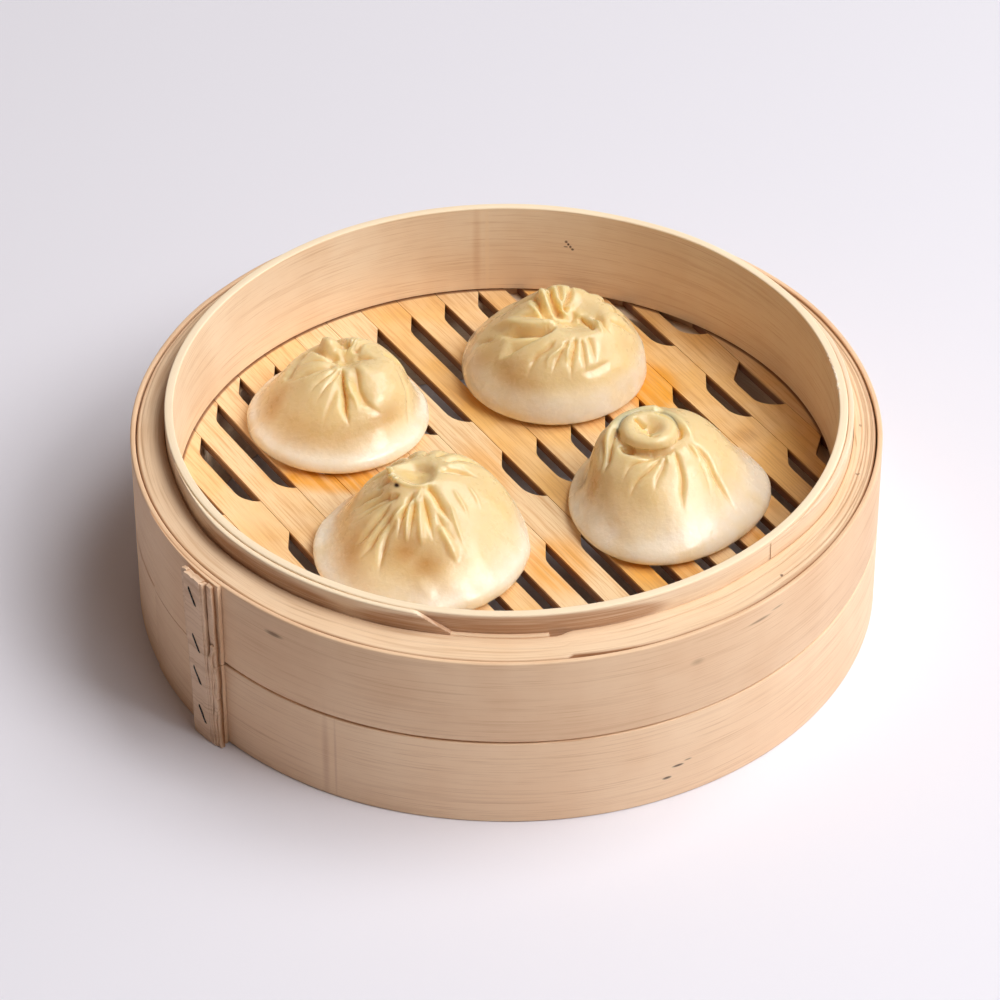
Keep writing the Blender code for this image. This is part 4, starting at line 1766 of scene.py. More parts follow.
@dataclass
class Dumpling:
    """One dumpling: rows of skin from its flat base up to the gathered knot.

    Each row of the profile is a share of the radius, a height and a share of the knot's
    offset. Each row of the outline is how many waves run round the base, how high they are
    as a share of the radius, and the direction of one crest. Glows are filling that shows
    brown through the dough.
    """

    node: str
    centre: Plan
    radius: float
    knot: Plan
    profile: tuple[Triple, ...]
    folds: tuple[Fold, ...]
    swells: tuple[Patch, ...] = ()
    frills: tuple[Frill, ...] = ()
    glows: tuple[Patch, ...] = ()
    dirt: tuple[Patch, ...] = ()
    outline: tuple[tuple[int, float, float], ...] = ()
    relief: float = 0.9
    seed: int = 1
    base: float = 30.7
    columns: int = 110
    rows: int = 52
    under: float = 0.06
    wave_length: float = 14.0
    wave_height: float = 0.2

    def curve(self, rise: Array, column: int) -> Array:
        """Return a smooth run through one column of the profile.

        Args:
            rise: share of the way up, from 0 at the base's edge to 1 at the knot.
            column: which number of a profile row is asked for.

        Returns:
            The value at each rise.
        """
        values = np.array([row[column] for row in self.profile])
        slopes = np.gradient(values)
        place = np.clip(rise, 0.0, 1.0) * (len(values) - 1)
        index = np.minimum(place.astype(int), len(values) - 2)
        part = place - index
        return run_between(values[index], values[index + 1], slopes[index], slopes[index + 1],
                           part)

    def slope(self, rise: Array) -> tuple[Array, Array]:
        """Return how far the profile faces outward and how far it faces up."""
        step = 0.02
        run = (self.curve(rise + step, 0) - self.curve(rise - step, 0)) * self.radius
        climb = self.curve(rise + step, 1) - self.curve(rise - step, 1)
        length = np.maximum(np.hypot(run, climb), 1e-4)
        return climb / length, -run / length

    def form(self, angle: Array, rise: Array) -> Array:
        """Shape the plain dough, before its folds.

        Args:
            angle: direction of each point.
            rise: its share of the way up.

        Returns:
            The place of each point.
        """
        radius = self.curve(rise, 0) * self.radius
        height = self.curve(rise, 1)
        lean = self.curve(rise, 2)
        for order, amount, aim in self.outline:
            wave = amount * np.cos(np.radians(order * (angle - aim)))
            radius = radius * (1.0 + wave * (1.0 - smooth(rise, 0.2, 0.6)))
        out_part, up_part = self.slope(rise)
        for swell in self.swells:
            there = swell.at(angle, rise) * (1.0 - smooth(rise, 0.9, 1.0))
            radius = radius + out_part * there
            height = height + up_part * there
        for frill in self.frills:
            there = bell(turn_between(angle, frill.angle), frill.spread)
            there = there * smooth(rise, frill.start, frill.end) * (1.0 - smooth(rise, 0.9, 1.0))
            radius = radius + frill.push * there
            height = height + frill.lift * there
        radius = np.where(rise >= 1.0, 0.0, radius)
        turn = np.radians(angle)
        return np.stack([
            self.centre[0] + self.knot[0] * lean + radius * np.cos(turn),
            self.centre[1] + self.knot[1] * lean + radius * np.sin(turn),
            self.base + np.maximum(height, 0.0),
        ], axis=1)

    def outward(self, angle: Array, rise: Array) -> Array:
        """Find which way the plain dough faces.

        Args:
            angle: direction of each point.
            rise: its share of the way up.

        Returns:
            The normal at each point.
        """
        low, high = np.maximum(rise - 0.01, 0.0), np.minimum(rise + 0.01, 0.995)
        climb = self.form(angle, high) - self.form(angle, low)
        round_about = self.form(angle + 1.0, np.minimum(rise, 0.99)) - self.form(
            angle - 1.0, np.minimum(rise, 0.99))
        normal = np.cross(round_about, climb)
        length = np.linalg.norm(normal, axis=1, keepdims=True)
        return normal / np.maximum(length, 1e-6)

    def track(self, fold: Fold) -> tuple[Array, Array]:
        """Lay a fold's path on the plain dough as a smooth line.

        Args:
            fold: the ridge or crease.

        Returns:
            The line's directions and shares of the way up, and its places.
        """
        way = np.array(fold.path)
        if len(way) == 2:
            way = np.array([way[0], way.mean(axis=0), way[1]])
        slopes = np.gradient(way, axis=0)
        part = np.linspace(0.0, 1.0, 7)[:, None]
        flat = [run_between(way[i], way[i + 1], slopes[i], slopes[i + 1], part)
                for i in range(len(way) - 1)]
        line = np.concatenate([flat[0][:1], *(run[1:] for run in flat)])
        return line, self.form(line[:, 0], line[:, 1])

    def lay(self, fold: Fold, angle: Array, rise: Array,
            points: Array) -> tuple[Array, Array]:
        """Work out one fold's height at each point.

        Args:
            fold: the ridge or crease.
            angle: direction of each point.
            rise: share of the way up of each point.
            points: the plain dough.

        Returns:
            The numbers of the points that the fold touches, and its share there, 0 to 1.
        """
        line, track = self.track(fold)
        reach = 3.0 * max(fold.left, fold.right)
        inside = np.all((points > track.min(axis=0) - reach)
                        & (points < track.max(axis=0) + reach), axis=1)
        here = np.flatnonzero(inside)
        spots, turns, rises = points[here], angle[here], rise[here]
        best = np.full(len(here), 1e9)
        along = np.zeros(len(here))
        side = np.zeros(len(here))
        for index in range(len(track) - 1):
            start, step = track[index], track[index + 1] - track[index]
            share = np.clip((spots - start) @ step / max(step @ step, 1e-9), 0.0, 1.0)
            gap = np.linalg.norm(spots - start - share[:, None] * step, axis=1)
            nearer = gap < best
            best = np.where(nearer, gap, best)
            along = np.where(nearer, (index + share) / (len(track) - 1), along)
            run = line[index + 1] - line[index]
            cross = (run[0] * (rises - line[index, 1])
                     - run[1] * turn_between(turns, line[index, 0]))
            side = np.where(nearer, np.sign(cross), side)
        width = np.where(side >= 0.0, fold.left, fold.right)
        ends = np.ones(len(here))
        if fold.ends[0] > 0.0:
            ends *= smooth(along, 0.0, fold.ends[0])
        if fold.ends[1] > 0.0:
            ends *= 1.0 - smooth(along, 1.0 - fold.ends[1], 1.0)
        width = width * (0.45 + 0.55 * ends)
        return here, ends * np.exp(-(best / width) ** fold.edge)

    def build(self, shop: Workshop) -> None:
        """Shape a ball of dough into the dumpling.

        Args:
            shop: the workshop that it is handed over to.
        """
        deselect_all()
        bpy.ops.mesh.primitive_uv_sphere_add(segments=self.columns, ring_count=self.rows,
                                             radius=1.0)
        piece = start_piece(f"{self.node}_dough")
        bpy.ops.object.mode_set(mode="EDIT")
        select_everything()
        bpy.ops.mesh.subdivide(number_cuts=3)
        bpy.ops.object.mode_set(mode="OBJECT")
        unit = read_points(piece) * MM
        angle = directions_of(unit)
        up = np.degrees(np.arcsin(np.clip(unit[:, 2], -1.0, 1.0))) / 180.0 + 0.5
        rise = np.clip((up - self.under) / (1.0 - self.under), 0.0, 1.0)
        below = np.clip(up / self.under, 0.0, 1.0)
        points, yellow = self.skin(angle, rise)
        hub = np.array([self.centre[0], self.centre[1], self.base])
        bottom = up < self.under
        points = np.where(bottom[:, None], hub + (points - hub) * below[:, None], points)
        write_points(piece, points)
        self.write_looks(piece, angle, rise, yellow, bottom)
        shop.hand_over(put_down(piece, 80.0), DOUGH, self.node)

    def skin(self, angle: Array, rise: Array) -> tuple[Array, Array]:
        """Lay the folds on the plain dough.

        Args:
            angle: direction of each point.
            rise: its share of the way up.

        Returns:
            The place of each point, and how much painted glow it takes there.
        """
        plain = self.form(angle, rise)
        normal = self.outward(angle, rise)
        bump = np.zeros_like(rise)
        yellow = np.zeros_like(rise)
        for fold in self.folds:
            here, share = self.lay(fold, angle, rise, plain)
            bump[here] += self.relief * fold.height * share
            # The folds' yellow is painted glow, standing in for light that shines through the creases.
            yellow[here] = np.maximum(yellow[here], fold.yellow * share)
        soft = Ripple(self.seed, self.wave_length).at(plain) * self.wave_height
        bump += soft * smooth(rise, 0.04, 0.2)
        points = plain + normal * (bump * (1.0 - smooth(rise, 0.97, 1.0)))[:, None]
        points[:, 2] = np.maximum(points[:, 2], self.base)
        # Painted glow at the knot as well.
        yellow = np.maximum(yellow, 0.6 * smooth(rise, 0.86, 0.96))
        return points, yellow

    def write_looks(self, piece: Piece, angle: Array, rise: Array,
                    yellow: Array, bottom: Array) -> None:
        """Store where the dough takes painted glow, is thick, is dirty or shows its filling.

        Args:
            piece: the dumpling.
            angle: direction of each point.
            rise: its share of the way up.
            yellow: how much painted glow it takes.
            bottom: whether it lies on the flat base.
        """
        skirt = (1.0 - smooth(rise, 0.28, 0.45)) * np.where(bottom, 0.6, 1.0)
        write_values(piece, "fold", np.clip(yellow, 0.0, 1.0))
        write_values(piece, "skirt", skirt)
        write_values(piece, "filling", self.patches(self.glows, angle, rise))
        write_values(piece, "dirt", self.patches(self.dirt, angle, rise))

    @staticmethod
    def patches(found: tuple[Patch, ...], angle: Array, rise: Array) -> Array:
        """Return how strongly soft patches cover each point, from 0 to 1."""
        amounts = [np.zeros_like(rise), *(patch.at(angle, rise) for patch in found)]
        return np.clip(np.max(amounts, axis=0), 0.0, 1.0)


LEFT_DUMPLING = Dumpling(
    node="dumpling_left", centre=(-46.8, 30.2), radius=25.4, knot=(2.2, 4.8), seed=61,
    profile=(
        (0.90, 0.0, 0.0), (0.985, 1.3, 0.0), (1.0, 2.6, 0.0), (0.965, 4.2, 0.0),
        (0.88, 5.6, 0.05), (0.79, 8.2, 0.2), (0.69, 11.6, 0.4), (0.57, 15.0, 0.65),
        (0.43, 17.6, 0.9), (0.30, 18.9, 1.0), (0.20, 19.0, 1.0), (0.10, 18.0, 1.0),
        (0.0, 17.0, 1.0),
    ),
    swells=(
        Patch(10, 0.6, 1.5, 40, 0.15), Patch(-38, 0.6, 1.3, 20, 0.08),
        Patch(-52, 0.76, 0.9, 12, 0.05),
    ),
    frills=(Frill(122, 22, 0.65, 0.85, 1.0, 1.2), Frill(62, 22, 0.65, 0.85, 1.0, 2.0)),
    folds=(
        Fold(((-98, 0.84), (-91, 0.69), (-86, 0.61), (-84, 0.55), (-80, 0.48)), -2.4, 0.6, 0.9, 1.0,
             (0.15, 0.35), 1.3),
        Fold(((-88, 0.74), (-80, 0.64), (-74, 0.60), (-72, 0.53)), 1.2, 1.2, 0.9, ends=(0.25, 0.5)),
        Fold(((-64, 0.82), (-69, 0.66), (-66, 0.60), (-60, 0.55), (-46, 0.48)), -1.5, 0.9, 2.0, 0.8,
             (0.15, 0.5), 1.4),
        Fold(((5, 0.93), (-5, 0.84), (-12, 0.70)), -0.9, 1.0, 0.9, 0.7, (0.3, 0.4)),
        Fold(((-2, 0.62), (-10, 0.50), (-20, 0.42), (-28, 0.34)), -0.5, 1.0, 1.0, 0.1, (0.3, 0.4)),
        Fold(((-110, 0.83), (-122, 0.71), (-128, 0.65), (-131, 0.58)), -0.9, 0.6, 0.8, 0.4, (0.2, 0.5),
             1.2),
        Fold(((-102, 0.82), (-107, 0.72), (-114, 0.65), (-117, 0.55)), -1.1, 0.5, 0.7, 0.5, (0.2, 0.5),
             1.2),
        Fold(((-97, 0.75), (-99, 0.63), (-102, 0.56), (-104, 0.46)), -0.5, 1.0, 1.0, 0.2),
        Fold(((168, 0.96), (163, 0.80), (150, 0.70), (145, 0.60)), -1.6, 0.8, 0.9, 0.4, (0.1, 0.4)),
        Fold(((195, 0.95), (188, 0.80), (180, 0.70), (181, 0.58)), -1.0, 0.8, 0.8, 0.3, (0.1, 0.4), 1.3),
        Fold(((-130, 0.90), (-143, 0.78), (-151, 0.69), (-160, 0.63), (-170, 0.54)), -1.3, 0.7, 1.0, 0.4,
             (0.15, 0.4), 1.3),
        Fold(((-120, 0.86), (-136, 0.75), (-141, 0.69), (-146, 0.61)), -0.8, 0.6, 0.7, 0.3, (0.2, 0.5),
             1.2),
        Fold(((188, 0.55), (180, 0.585), (165, 0.61), (150, 0.65)), -1.5, 1.3, 1.3, ends=(0.2, 0.2)),
        Fold(((95, 0.92), (100, 0.75), (103, 0.60)), -2.2, 1.3, 1.3, 0.5, (0.1, 0.4)),
        Fold(((140, 0.90), (130, 0.76), (128, 0.66)), 1.8, 1.7, 1.7, ends=(0.3, 0.4)),
        Fold(((85, 0.95), (80, 0.70)), -0.7, 0.5, 0.5, 0.2, (0.2, 0.3)),
        Fold(((70, 0.95), (68, 0.70)), -0.6, 0.5, 0.5, 0.2, (0.2, 0.3)),
        Fold(((55, 0.95), (58, 0.70)), -0.6, 0.5, 0.5, 0.2, (0.2, 0.3)),
        Fold(((35, 0.92), (45, 0.80), (46, 0.62)), -1.3, 0.9, 0.8, 0.3, (0.1, 0.4)),
        *pleats((20, 78, 122), 0.7, 0.4, 0.8, turn=-8),
    ),
    glows=(
        Patch(-162, 0.46, 0.8, 8, 0.06), Patch(-156, 0.43, 0.6, 6, 0.04),
        Patch(-46, 0.475, 0.6, 12, 0.035), Patch(-95, 0.43, 0.35, 35, 0.05),
    ),
)

BACK_DUMPLING = Dumpling(
    node="dumpling_back", centre=(13.6, 52.4), radius=26.1, knot=(4.5, -1.0), seed=71,
    relief=1.05,
    profile=(
        (0.90, 0.0, 0.0), (0.985, 1.6, 0.0), (1.0, 3.0, 0.0), (0.985, 5.4, 0.0),
        (0.93, 8.8, 0.1), (0.84, 12.0, 0.25), (0.73, 15.2, 0.45), (0.61, 18.2, 0.7),
        (0.49, 20.4, 0.9), (0.37, 21.4, 1.0), (0.25, 20.8, 1.0), (0.12, 19.4, 1.0),
        (0.0, 18.5, 1.0),
    ),
    swells=(Patch(35, 0.92, 1.2, 30, 0.03), Patch(-128, 0.56, 0.8, 10, 0.07)),
    frills=(Frill(118, 28, 0.5, 0.75, 0.5, 3.2),),
    folds=(
        Fold(((185, 0.88), (170, 0.80), (152, 0.72), (140, 0.64)), -2.4, 0.9, 1.1, 0.9, (0.15, 0.35)),
        Fold(((165, 0.95), (145, 0.85), (128, 0.76), (120, 0.66)), -2.6, 0.9, 1.1, 0.9, (0.15, 0.35)),
        Fold(((125, 0.95), (98, 0.88), (90, 0.80), (88, 0.66)), -2.0, 0.7, 0.7, 0.3, (0.1, 0.35)),
        Fold(((118, 0.90), (109, 0.78), (106, 0.66)), -1.3, 0.7, 0.8, 0.2, (0.2, 0.35)),
        Fold(((160, 0.90), (140, 0.78), (133, 0.67)), 1.2, 1.1, 1.1, ends=(0.3, 0.3)),
        Fold(((185, 0.90), (173, 0.79), (155, 0.66)), 0.9, 1.0, 1.0, ends=(0.3, 0.4)),
        Fold(((195, 0.92), (184, 0.80), (177, 0.70), (172, 0.58)), -1.4, 0.7, 0.9, 0.5, (0.15, 0.4)),
        Fold(((220, 0.92), (203, 0.72), (180, 0.59), (172, 0.46)), 1.4, 1.8, 1.8, ends=(0.2, 0.4)),
        Fold(((232, 0.84), (212, 0.69), (199, 0.60), (186, 0.51)), -2.6, 1.1, 1.4, 0.7, (0.15, 0.35),
             1.5),
        Fold(((236, 0.82), (223, 0.63), (218, 0.55), (212, 0.46)), -2.8, 0.5, 2.4, 0.4, (0.15, 0.3), 1.3),
        Fold(((250, 0.70), (247, 0.62), (242, 0.56), (243, 0.50), (245, 0.42)), -0.9, 0.7, 0.9, 0.4,
             (0.2, 0.5)),
        Fold(((264, 0.68), (262, 0.64), (254, 0.57), (257, 0.50)), 0.7, 0.5, 0.7, ends=(0.2, 0.4)),
        Fold(((268, 0.72), (263, 0.63), (262, 0.55), (262, 0.47)), -1.0, 0.45, 0.5, 0.5, (0.2, 0.5), 1.2),
        Fold(((271, 0.69), (270, 0.62), (272, 0.54)), 0.7, 0.5, 0.6, ends=(0.2, 0.4)),
        Fold(((276, 0.74), (277, 0.65), (276, 0.56), (279, 0.44)), -1.2, 0.6, 0.7, 0.7, (0.2, 0.4), 1.2),
        Fold(((285, 0.72), (287, 0.63), (289, 0.54), (291, 0.45)), -0.8, 0.6, 0.7, 0.5, (0.2, 0.5), 1.3),
        Fold(((296, 0.72), (298, 0.63), (300, 0.50)), -0.7, 0.8, 0.7, 0.4, (0.2, 0.5), 1.3),
        Fold(((20, 0.95), (-12, 0.90), (-38, 0.82), (-50, 0.75)), -1.7, 0.7, 0.7, 0.9, (0.2, 0.25), 1.5),
        Fold(((5, 0.87), (-8, 0.80), (-27, 0.72), (-31, 0.58)), -0.9, 1.2, 0.6, 0.6, (0.2, 0.5), 1.3),
        Fold(((-5, 0.84), (-35, 0.75), (-42, 0.66)), 0.6, 0.6, 0.6, ends=(0.3, 0.4)),
        Fold(((-75, 0.49), (-60, 0.49), (-45, 0.50)), -0.5, 0.9, 1.6, 0.15, (0.3, 0.3)),
        Fold(((190, 0.50), (183, 0.42), (184, 0.34)), -0.8, 0.6, 0.8, 0.0, (0.3, 0.4)),
        *pleats((5, 30, 52, 75, 100, 130, 155), 0.72, 0.4, 1.0, turn=-14),
    ),
    glows=(Patch(-160, 0.42, 0.5, 8, 0.06), Patch(-128, 0.43, 0.7, 15, 0.05)),
)

FRONT_DUMPLING = Dumpling(
    node="dumpling_front", centre=(-23.2, -28.8), radius=29.1, knot=(-0.5, 7.5), seed=81,
    profile=(
        (0.90, 0.0, 0.0), (0.985, 1.6, 0.0), (1.0, 3.0, 0.0), (0.97, 4.7, 0.0),
        (0.89, 6.8, 0.1), (0.77, 10.1, 0.25), (0.64, 13.8, 0.45), (0.50, 17.5, 0.7),
        (0.37, 20.4, 0.9), (0.27, 22.3, 1.0), (0.20, 22.9, 1.0), (0.12, 21.4, 1.0),
        (0.0, 20.2, 1.0),
    ),
    swells=(
        Patch(35, 0.5, 4.5, 48, 0.16), Patch(178, 0.36, -3.0, 38, 0.12),
        Patch(168, 0.68, -2.0, 35, 0.1), Patch(-92, 0.475, -1.4, 15, 0.045),
    ),
    frills=(Frill(75, 45, 0.6, 0.8, -0.4, -1.6), Frill(168, 18, 0.6, 0.8, 1.4, 0.4)),
    folds=(
        Fold(((160, 0.80), (195, 0.80), (225, 0.80), (255, 0.80), (285, 0.80), (325, 0.81)), 0.6, 0.5,
             0.6, ends=(0.1, 0.2)),
        Fold(((-5, 0.84), (6, 0.70), (9, 0.58)), -1.4, 0.9, 0.8, 0.8, (0.2, 0.4)),
        Fold(((14, 0.80), (20, 0.69), (21, 0.58)), 0.6, 1.0, 1.0, ends=(0.3, 0.4)),
        Fold(((-66, 0.80), (-60, 0.70), (-58, 0.64), (-55, 0.56)), -1.7, 0.8, 0.8, 1.0, (0.15, 0.35),
             1.4),
        Fold(((-68, 0.63), (-63, 0.56), (-57, 0.49)), -0.9, 0.7, 0.5, 0.6, (0.3, 0.4), 1.3),
        Fold(((-80, 0.72), (-78, 0.65), (-77, 0.60), (-76, 0.52)), -1.6, 0.6, 0.6, 0.9, (0.3, 0.4), 1.3),
        Fold(((-93, 0.71), (-95, 0.64), (-96, 0.60), (-98, 0.53)), -1.4, 0.5, 0.5, 0.8, (0.3, 0.4), 1.3),
        Fold(((-95, 0.75), (-104, 0.67), (-108, 0.61), (-109, 0.52)), -1.6, 0.55, 0.6, 0.8, (0.25, 0.4),
             1.3),
        Fold(((-100, 0.68), (-101, 0.60), (-100, 0.52)), 0.7, 0.5, 0.5, ends=(0.3, 0.2)),
        Fold(((-86, 0.70), (-87, 0.60), (-86, 0.51)), 0.9, 0.8, 0.8, ends=(0.3, 0.2)),
        Fold(((-80, 0.78), (-90, 0.70), (-108, 0.65), (-117, 0.59), (-120, 0.52)), 0.8, 0.6, 0.7,
             ends=(0.15, 0.3)),
        Fold(((-113, 0.62), (-120, 0.54), (-120, 0.48), (-117, 0.38)), -1.6, 0.9, 0.9, 0.4, (0.25, 0.4),
             1.4),
        Fold(((-118, 0.64), (-130, 0.54), (-133, 0.48), (-137, 0.41)), -1.7, 0.9, 0.8, 0.4, (0.2, 0.4),
             1.4),
        Fold(((-128, 0.66), (-139, 0.55), (-143, 0.50), (-148, 0.43)), -1.6, 0.9, 0.7, 0.4, (0.2, 0.4),
             1.4),
        Fold(((-118, 0.71), (-140, 0.65), (-157, 0.57), (-168, 0.47)), -1.5, 0.8, 0.7, 0.5, (0.15, 0.4),
             1.4),
        Fold(((-135, 0.69), (-158, 0.61), (-174, 0.49)), -1.5, 0.7, 0.6, 0.4, (0.15, 0.4), 1.4),
        Fold(((205, 0.68), (184, 0.58), (174, 0.47)), -1.6, 0.7, 0.8, 0.3, (0.15, 0.4), 1.4),
        Fold(((200, 0.76), (190, 0.70), (184, 0.63)), -1.2, 0.6, 0.6, 0.0, (0.2, 0.3), 1.4),
        Fold(((175, 0.88), (165, 0.76)), 0.9, 0.45, 0.45, ends=(0.3, 0.3)),
        Fold(((195, 0.86), (190, 0.75)), 0.9, 0.45, 0.45, ends=(0.3, 0.3)),
        Fold(((212, 0.85), (208, 0.76)), 0.6, 0.4, 0.4, ends=(0.3, 0.3)),
        Fold(((185, 0.88), (178, 0.74)), -1.1, 0.5, 0.5, 0.3, (0.2, 0.2), 1.3),
        Fold(((-68, 0.58), (-64, 0.52), (-61, 0.43)), 1.1, 1.4, 1.0, ends=(0.2, 0.3)),
        Fold(((-47, 0.64), (-51, 0.57), (-53, 0.47)), 0.5, 0.6, 0.5, ends=(0.3, 0.4)),
        Fold(((-30, 0.68), (-37, 0.55)), 0.45, 0.5, 0.6, ends=(0.3, 0.4)),
        Fold(((-10, 0.64), (-22, 0.53)), 0.4, 0.5, 0.6, ends=(0.3, 0.4)),
        Fold(((-92, 0.42), (-86, 0.36), (-80, 0.29)), 0.5, 2.2, 1.6, ends=(0.4, 0.4)),
        *pleats((40, 62, 84, 108, 130, 150), 0.76, 0.42, 1.2, turn=-6),
    ),
    glows=(
        Patch(-101, 0.495, 0.95, 9, 0.035), Patch(-84, 0.45, 0.95, 10, 0.035),
        Patch(-147, 0.43, 0.7, 8, 0.05),
    ),
    dirt=(Patch(-135, 0.755, 1.6, 4, 0.01),),
)

RIGHT_DUMPLING = Dumpling(
    node="dumpling_right", centre=(43.6, -7.1), radius=27.6, knot=(-5.2, 2.3), seed=91,
    relief=0.78,
    outline=((2, 0.04, 45), (3, 0.03, 15)),
    profile=(
        (0.90, 0.0, 0.0), (0.985, 1.4, 0.0), (1.0, 2.8, 0.0), (0.965, 4.6, 0.0),
        (0.88, 7.0, 0.1), (0.76, 10.2, 0.25), (0.62, 13.9, 0.45), (0.48, 17.6, 0.7),
        (0.36, 20.4, 0.9), (0.28, 21.6, 1.0), (0.28, 23.2, 1.0), (0.25, 25.0, 1.0),
        (0.17, 25.5, 1.0), (0.08, 24.2, 1.0), (0.0, 22.5, 1.0),
    ),
    swells=(
        Patch(50, 0.5, 4.5, 50, 0.1), Patch(175, 0.50, 3.0, 30, 0.1),
        Patch(175, 0.3, -2.0, 30, 0.1),
    ),
    folds=(
        Fold(((142, 0.84), (135, 0.96)), -1.5, 0.5, 0.6, 1.0, (0.2, 0.1), 1.4),
        Fold(((-95, 0.96), (-88, 0.87), (-50, 0.84)), -1.3, 0.6, 0.5, 0.9, (0.1, 0.3), 1.4),
        Fold(((85, 0.80), (55, 0.80), (25, 0.76), (0, 0.69), (-20, 0.63)), -1.3, 1.1, 1.1, 1.0,
             (0.2, 0.2)),
        Fold(((75, 0.64), (45, 0.62), (15, 0.60), (-8, 0.56)), 1.4, 1.3, 1.5, ends=(0.2, 0.3)),
        Fold(((206, 0.49), (190, 0.56), (160, 0.60), (125, 0.60), (90, 0.60), (60, 0.60)), 2.4, 1.4, 1.6,
             ends=(0.3, 0.15)),
        Fold(((172, 0.64), (186, 0.60), (204, 0.52), (209, 0.44)), -2.2, 0.8, 0.7, 0.3, (0.2, 0.3), 1.5),
        Fold(((178, 0.55), (198, 0.49), (203, 0.43)), -0.7, 0.6, 0.6, 0.0, (0.3, 0.4)),
        Fold(((205, 0.58), (222, 0.62), (245, 0.64), (270, 0.64), (292, 0.63), (312, 0.62), (328, 0.62)),
             -1.7, 0.7, 0.8, 0.4, (0.12, 0.3), 1.5),
        Fold(((212, 0.60), (226, 0.625), (240, 0.64)), -1.8, 0.6, 0.9, 0.2, (0.3, 0.4)),
        Fold(((290, 0.62), (262, 0.59), (239, 0.54), (231, 0.45)), -1.1, 0.6, 0.8, 0.6, (0.15, 0.4), 1.3),
        Fold(((292, 0.61), (266, 0.54), (248, 0.485), (240, 0.41)), -1.3, 0.6, 0.6, 0.6, (0.15, 0.4),
             1.3),
        Fold(((298, 0.60), (283, 0.54), (272, 0.50), (265, 0.45)), -1.0, 0.55, 0.6, 0.4, (0.2, 0.5), 1.3),
        Fold(((303, 0.62), (293, 0.55)), 0.6, 0.5, 0.5, ends=(0.3, 0.4)),
        Fold(((318, 0.61), (308, 0.54), (300, 0.485), (292, 0.44), (286, 0.38)), -1.4, 0.55, 0.6, 0.9,
             (0.15, 0.35), 1.3),
        Fold(((342, 0.60), (330, 0.50), (323, 0.445), (313, 0.38)), -0.7, 0.6, 0.6, 0.3, (0.2, 0.5), 1.3),
        Fold(((347, 0.58), (336, 0.53), (326, 0.48)), 0.6, 0.6, 0.6, ends=(0.3, 0.4)),
        Fold(((349, 0.57), (340, 0.49), (333, 0.445), (329, 0.38), (325, 0.28)), -1.5, 0.8, 0.9, 0.8,
             (0.2, 0.3), 1.4),
        *pleats((68, 95, 122, 148), 0.56, 0.34, 0.8, turn=8),
    ),
    glows=(Patch(-161, 0.37, 0.7, 7, 0.05), Patch(-130, 0.4, 0.3, 20, 0.05)),
)

DUMPLINGS = (LEFT_DUMPLING, BACK_DUMPLING, FRONT_DUMPLING, RIGHT_DUMPLING)


# ---- studio ----
class LampKind(Enum):
    """How a lamp throws its light."""

    SOFTBOX = "AREA"


@dataclass(frozen=True)
class Lamp:
    """A soft studio light aimed at the basket."""

    name: str
    place: Triple
    power: float
    size: float
    colour: Colour = (255, 255, 255)
    kind: LampKind = LampKind.SOFTBOX


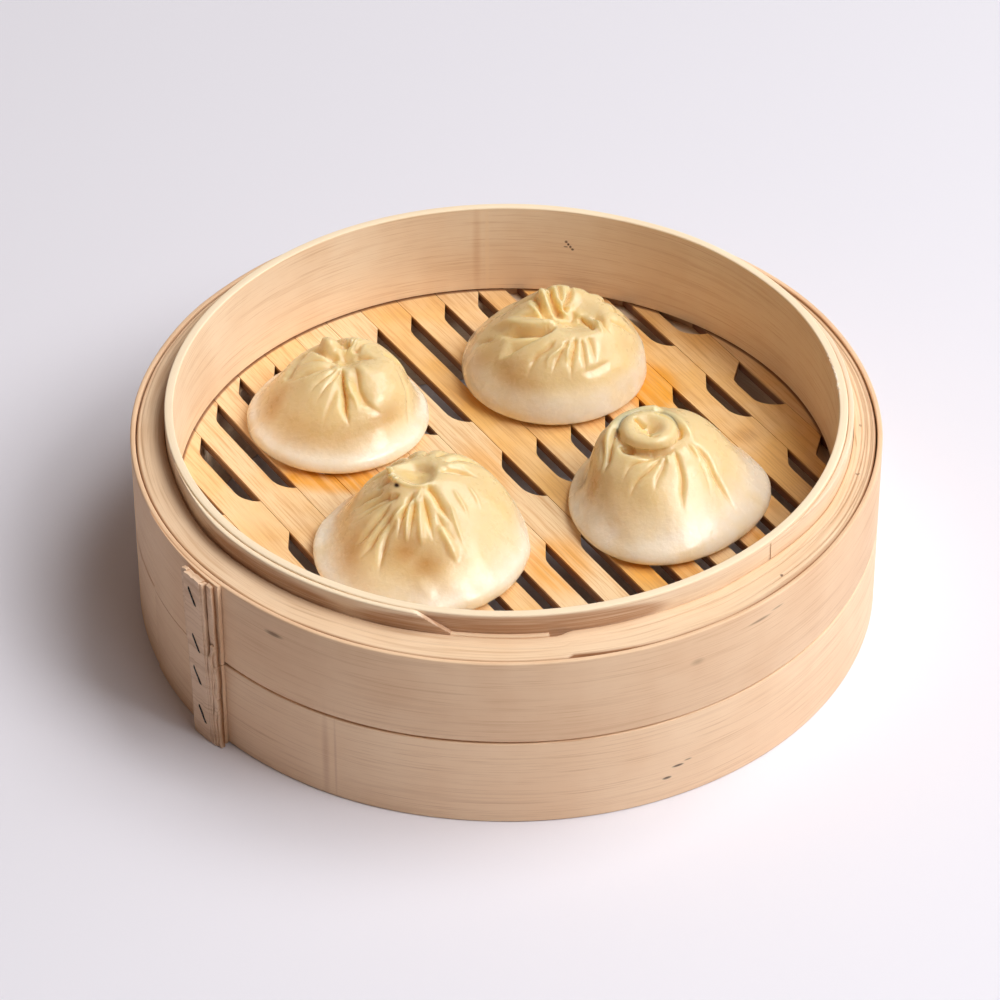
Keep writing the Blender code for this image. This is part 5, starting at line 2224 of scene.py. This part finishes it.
@dataclass
class Studio:
    """Pale floor, soft light and the camera."""

    lens: float = 165.4
    eye: Triple = (0.0, -0.9878, 0.8062)
    target: Triple = (-0.00175, 0.0, 0.0268)
    roll: float = -0.0031
    lamps: tuple[Lamp, ...] = (
        Lamp("back_right_softbox", (0.851, 0.397, 1.766), 15.9, 1.0),
        Lamp("high_softbox", (0.766, -0.357, 1.813), 4.5, 1.0),
        Lamp("front_right_softbox", (0.811, -0.811, 1.638), 6.5, 1.0),
        Lamp("crisp_softbox", (1.22, -0.62, 1.46), 16.0, 0.8),
        Lamp("low_softbox", (1.485, -0.692, 1.147), 2.6, 1.0),
        Lamp("side_softbox", (1.706, 0.301, 1.0), 6.4, 1.0),
        Lamp("left_softbox", (-1.27, 0.0, 1.27), 2.4, 1.0, (255, 214, 186)),
        Lamp("back_softbox", (-0.11, 1.27, 1.27), 1.2, 1.0),
    )
    lamp_aim: Triple = (0.0, 0.0, 0.03)
    floor_size: float = 12.0
    sky: Colour = (255, 236, 224)
    sky_strength: float = 0.03

    def build(self, shop: Workshop) -> None:
        """Set up the floor, the lights and the camera."""
        self.add_floor(shop)
        self.add_sky()
        for lamp in self.lamps:
            self.add_lamp(lamp)
        self.add_camera()

    def add_floor(self, shop: Workshop) -> None:
        """Lay the paper."""
        deselect_all()
        bpy.ops.mesh.primitive_plane_add(size=self.floor_size, location=(0.0, 0.0, -0.0001))
        floor = put_down(start_piece("studio_floor"))
        floor.data.materials.append(PAPER.build(shop.shared))

    def add_sky(self) -> None:
        """Light the room evenly."""
        world = bpy.data.worlds.new("studio_room")
        world.use_nodes = True
        back = world.node_tree.nodes["Background"]
        back.inputs["Color"].default_value = paint(self.sky)
        back.inputs["Strength"].default_value = self.sky_strength
        bpy.context.scene.world = world

    def add_lamp(self, lamp: Lamp) -> None:
        """Hang one softbox and aim it at the basket.

        Args:
            lamp: the softbox.
        """
        light = bpy.data.lights.new(lamp.name, lamp.kind.value)
        light.energy = lamp.power
        light.size = lamp.size
        light.color = paint(lamp.colour)[:3]
        hung = bpy.data.objects.new(lamp.name, light)
        hung.location = lamp.place
        aim = Vector(self.lamp_aim) - Vector(lamp.place)
        hung.rotation_euler = aim.to_track_quat("-Z", "Y").to_euler()
        bpy.context.scene.collection.objects.link(hung)

    def add_camera(self) -> None:
        """Place the camera on the basket's front side, above it."""
        data = bpy.data.cameras.new("studio_camera")
        data.lens = self.lens
        data.sensor_width = 36.0
        camera = bpy.data.objects.new("studio_camera", data)
        eye, target = Vector(self.eye), Vector(self.target)
        turn = (target - eye).to_track_quat("-Z", "Y").to_matrix().to_4x4()
        tilt = Matrix.Rotation(self.roll, 4, "Z")
        camera.matrix_world = Matrix.Translation(eye) @ turn @ tilt
        bpy.context.scene.collection.objects.link(camera)
        bpy.context.scene.camera = camera


def set_view() -> None:
    """Show colours as a plain screen does."""
    bpy.context.scene.view_settings.view_transform = "Standard"


def main() -> None:
    """Build the basket, its floor, the dumplings and the studio, in that order."""
    logging.basicConfig(level=logging.INFO, format="%(name)s %(message)s")
    set_view()
    shop = Workshop()
    sub_assemblies = (
        OuterHoops(), Ledge(), InnerHoop(), TornFibres(), FloorSupport(),
        SlattedFloor(), Strap(), *DUMPLINGS, Studio(),
    )
    for sub_assembly in sub_assemblies:
        sub_assembly.build(shop)


if __name__ == "__main__":
    main()
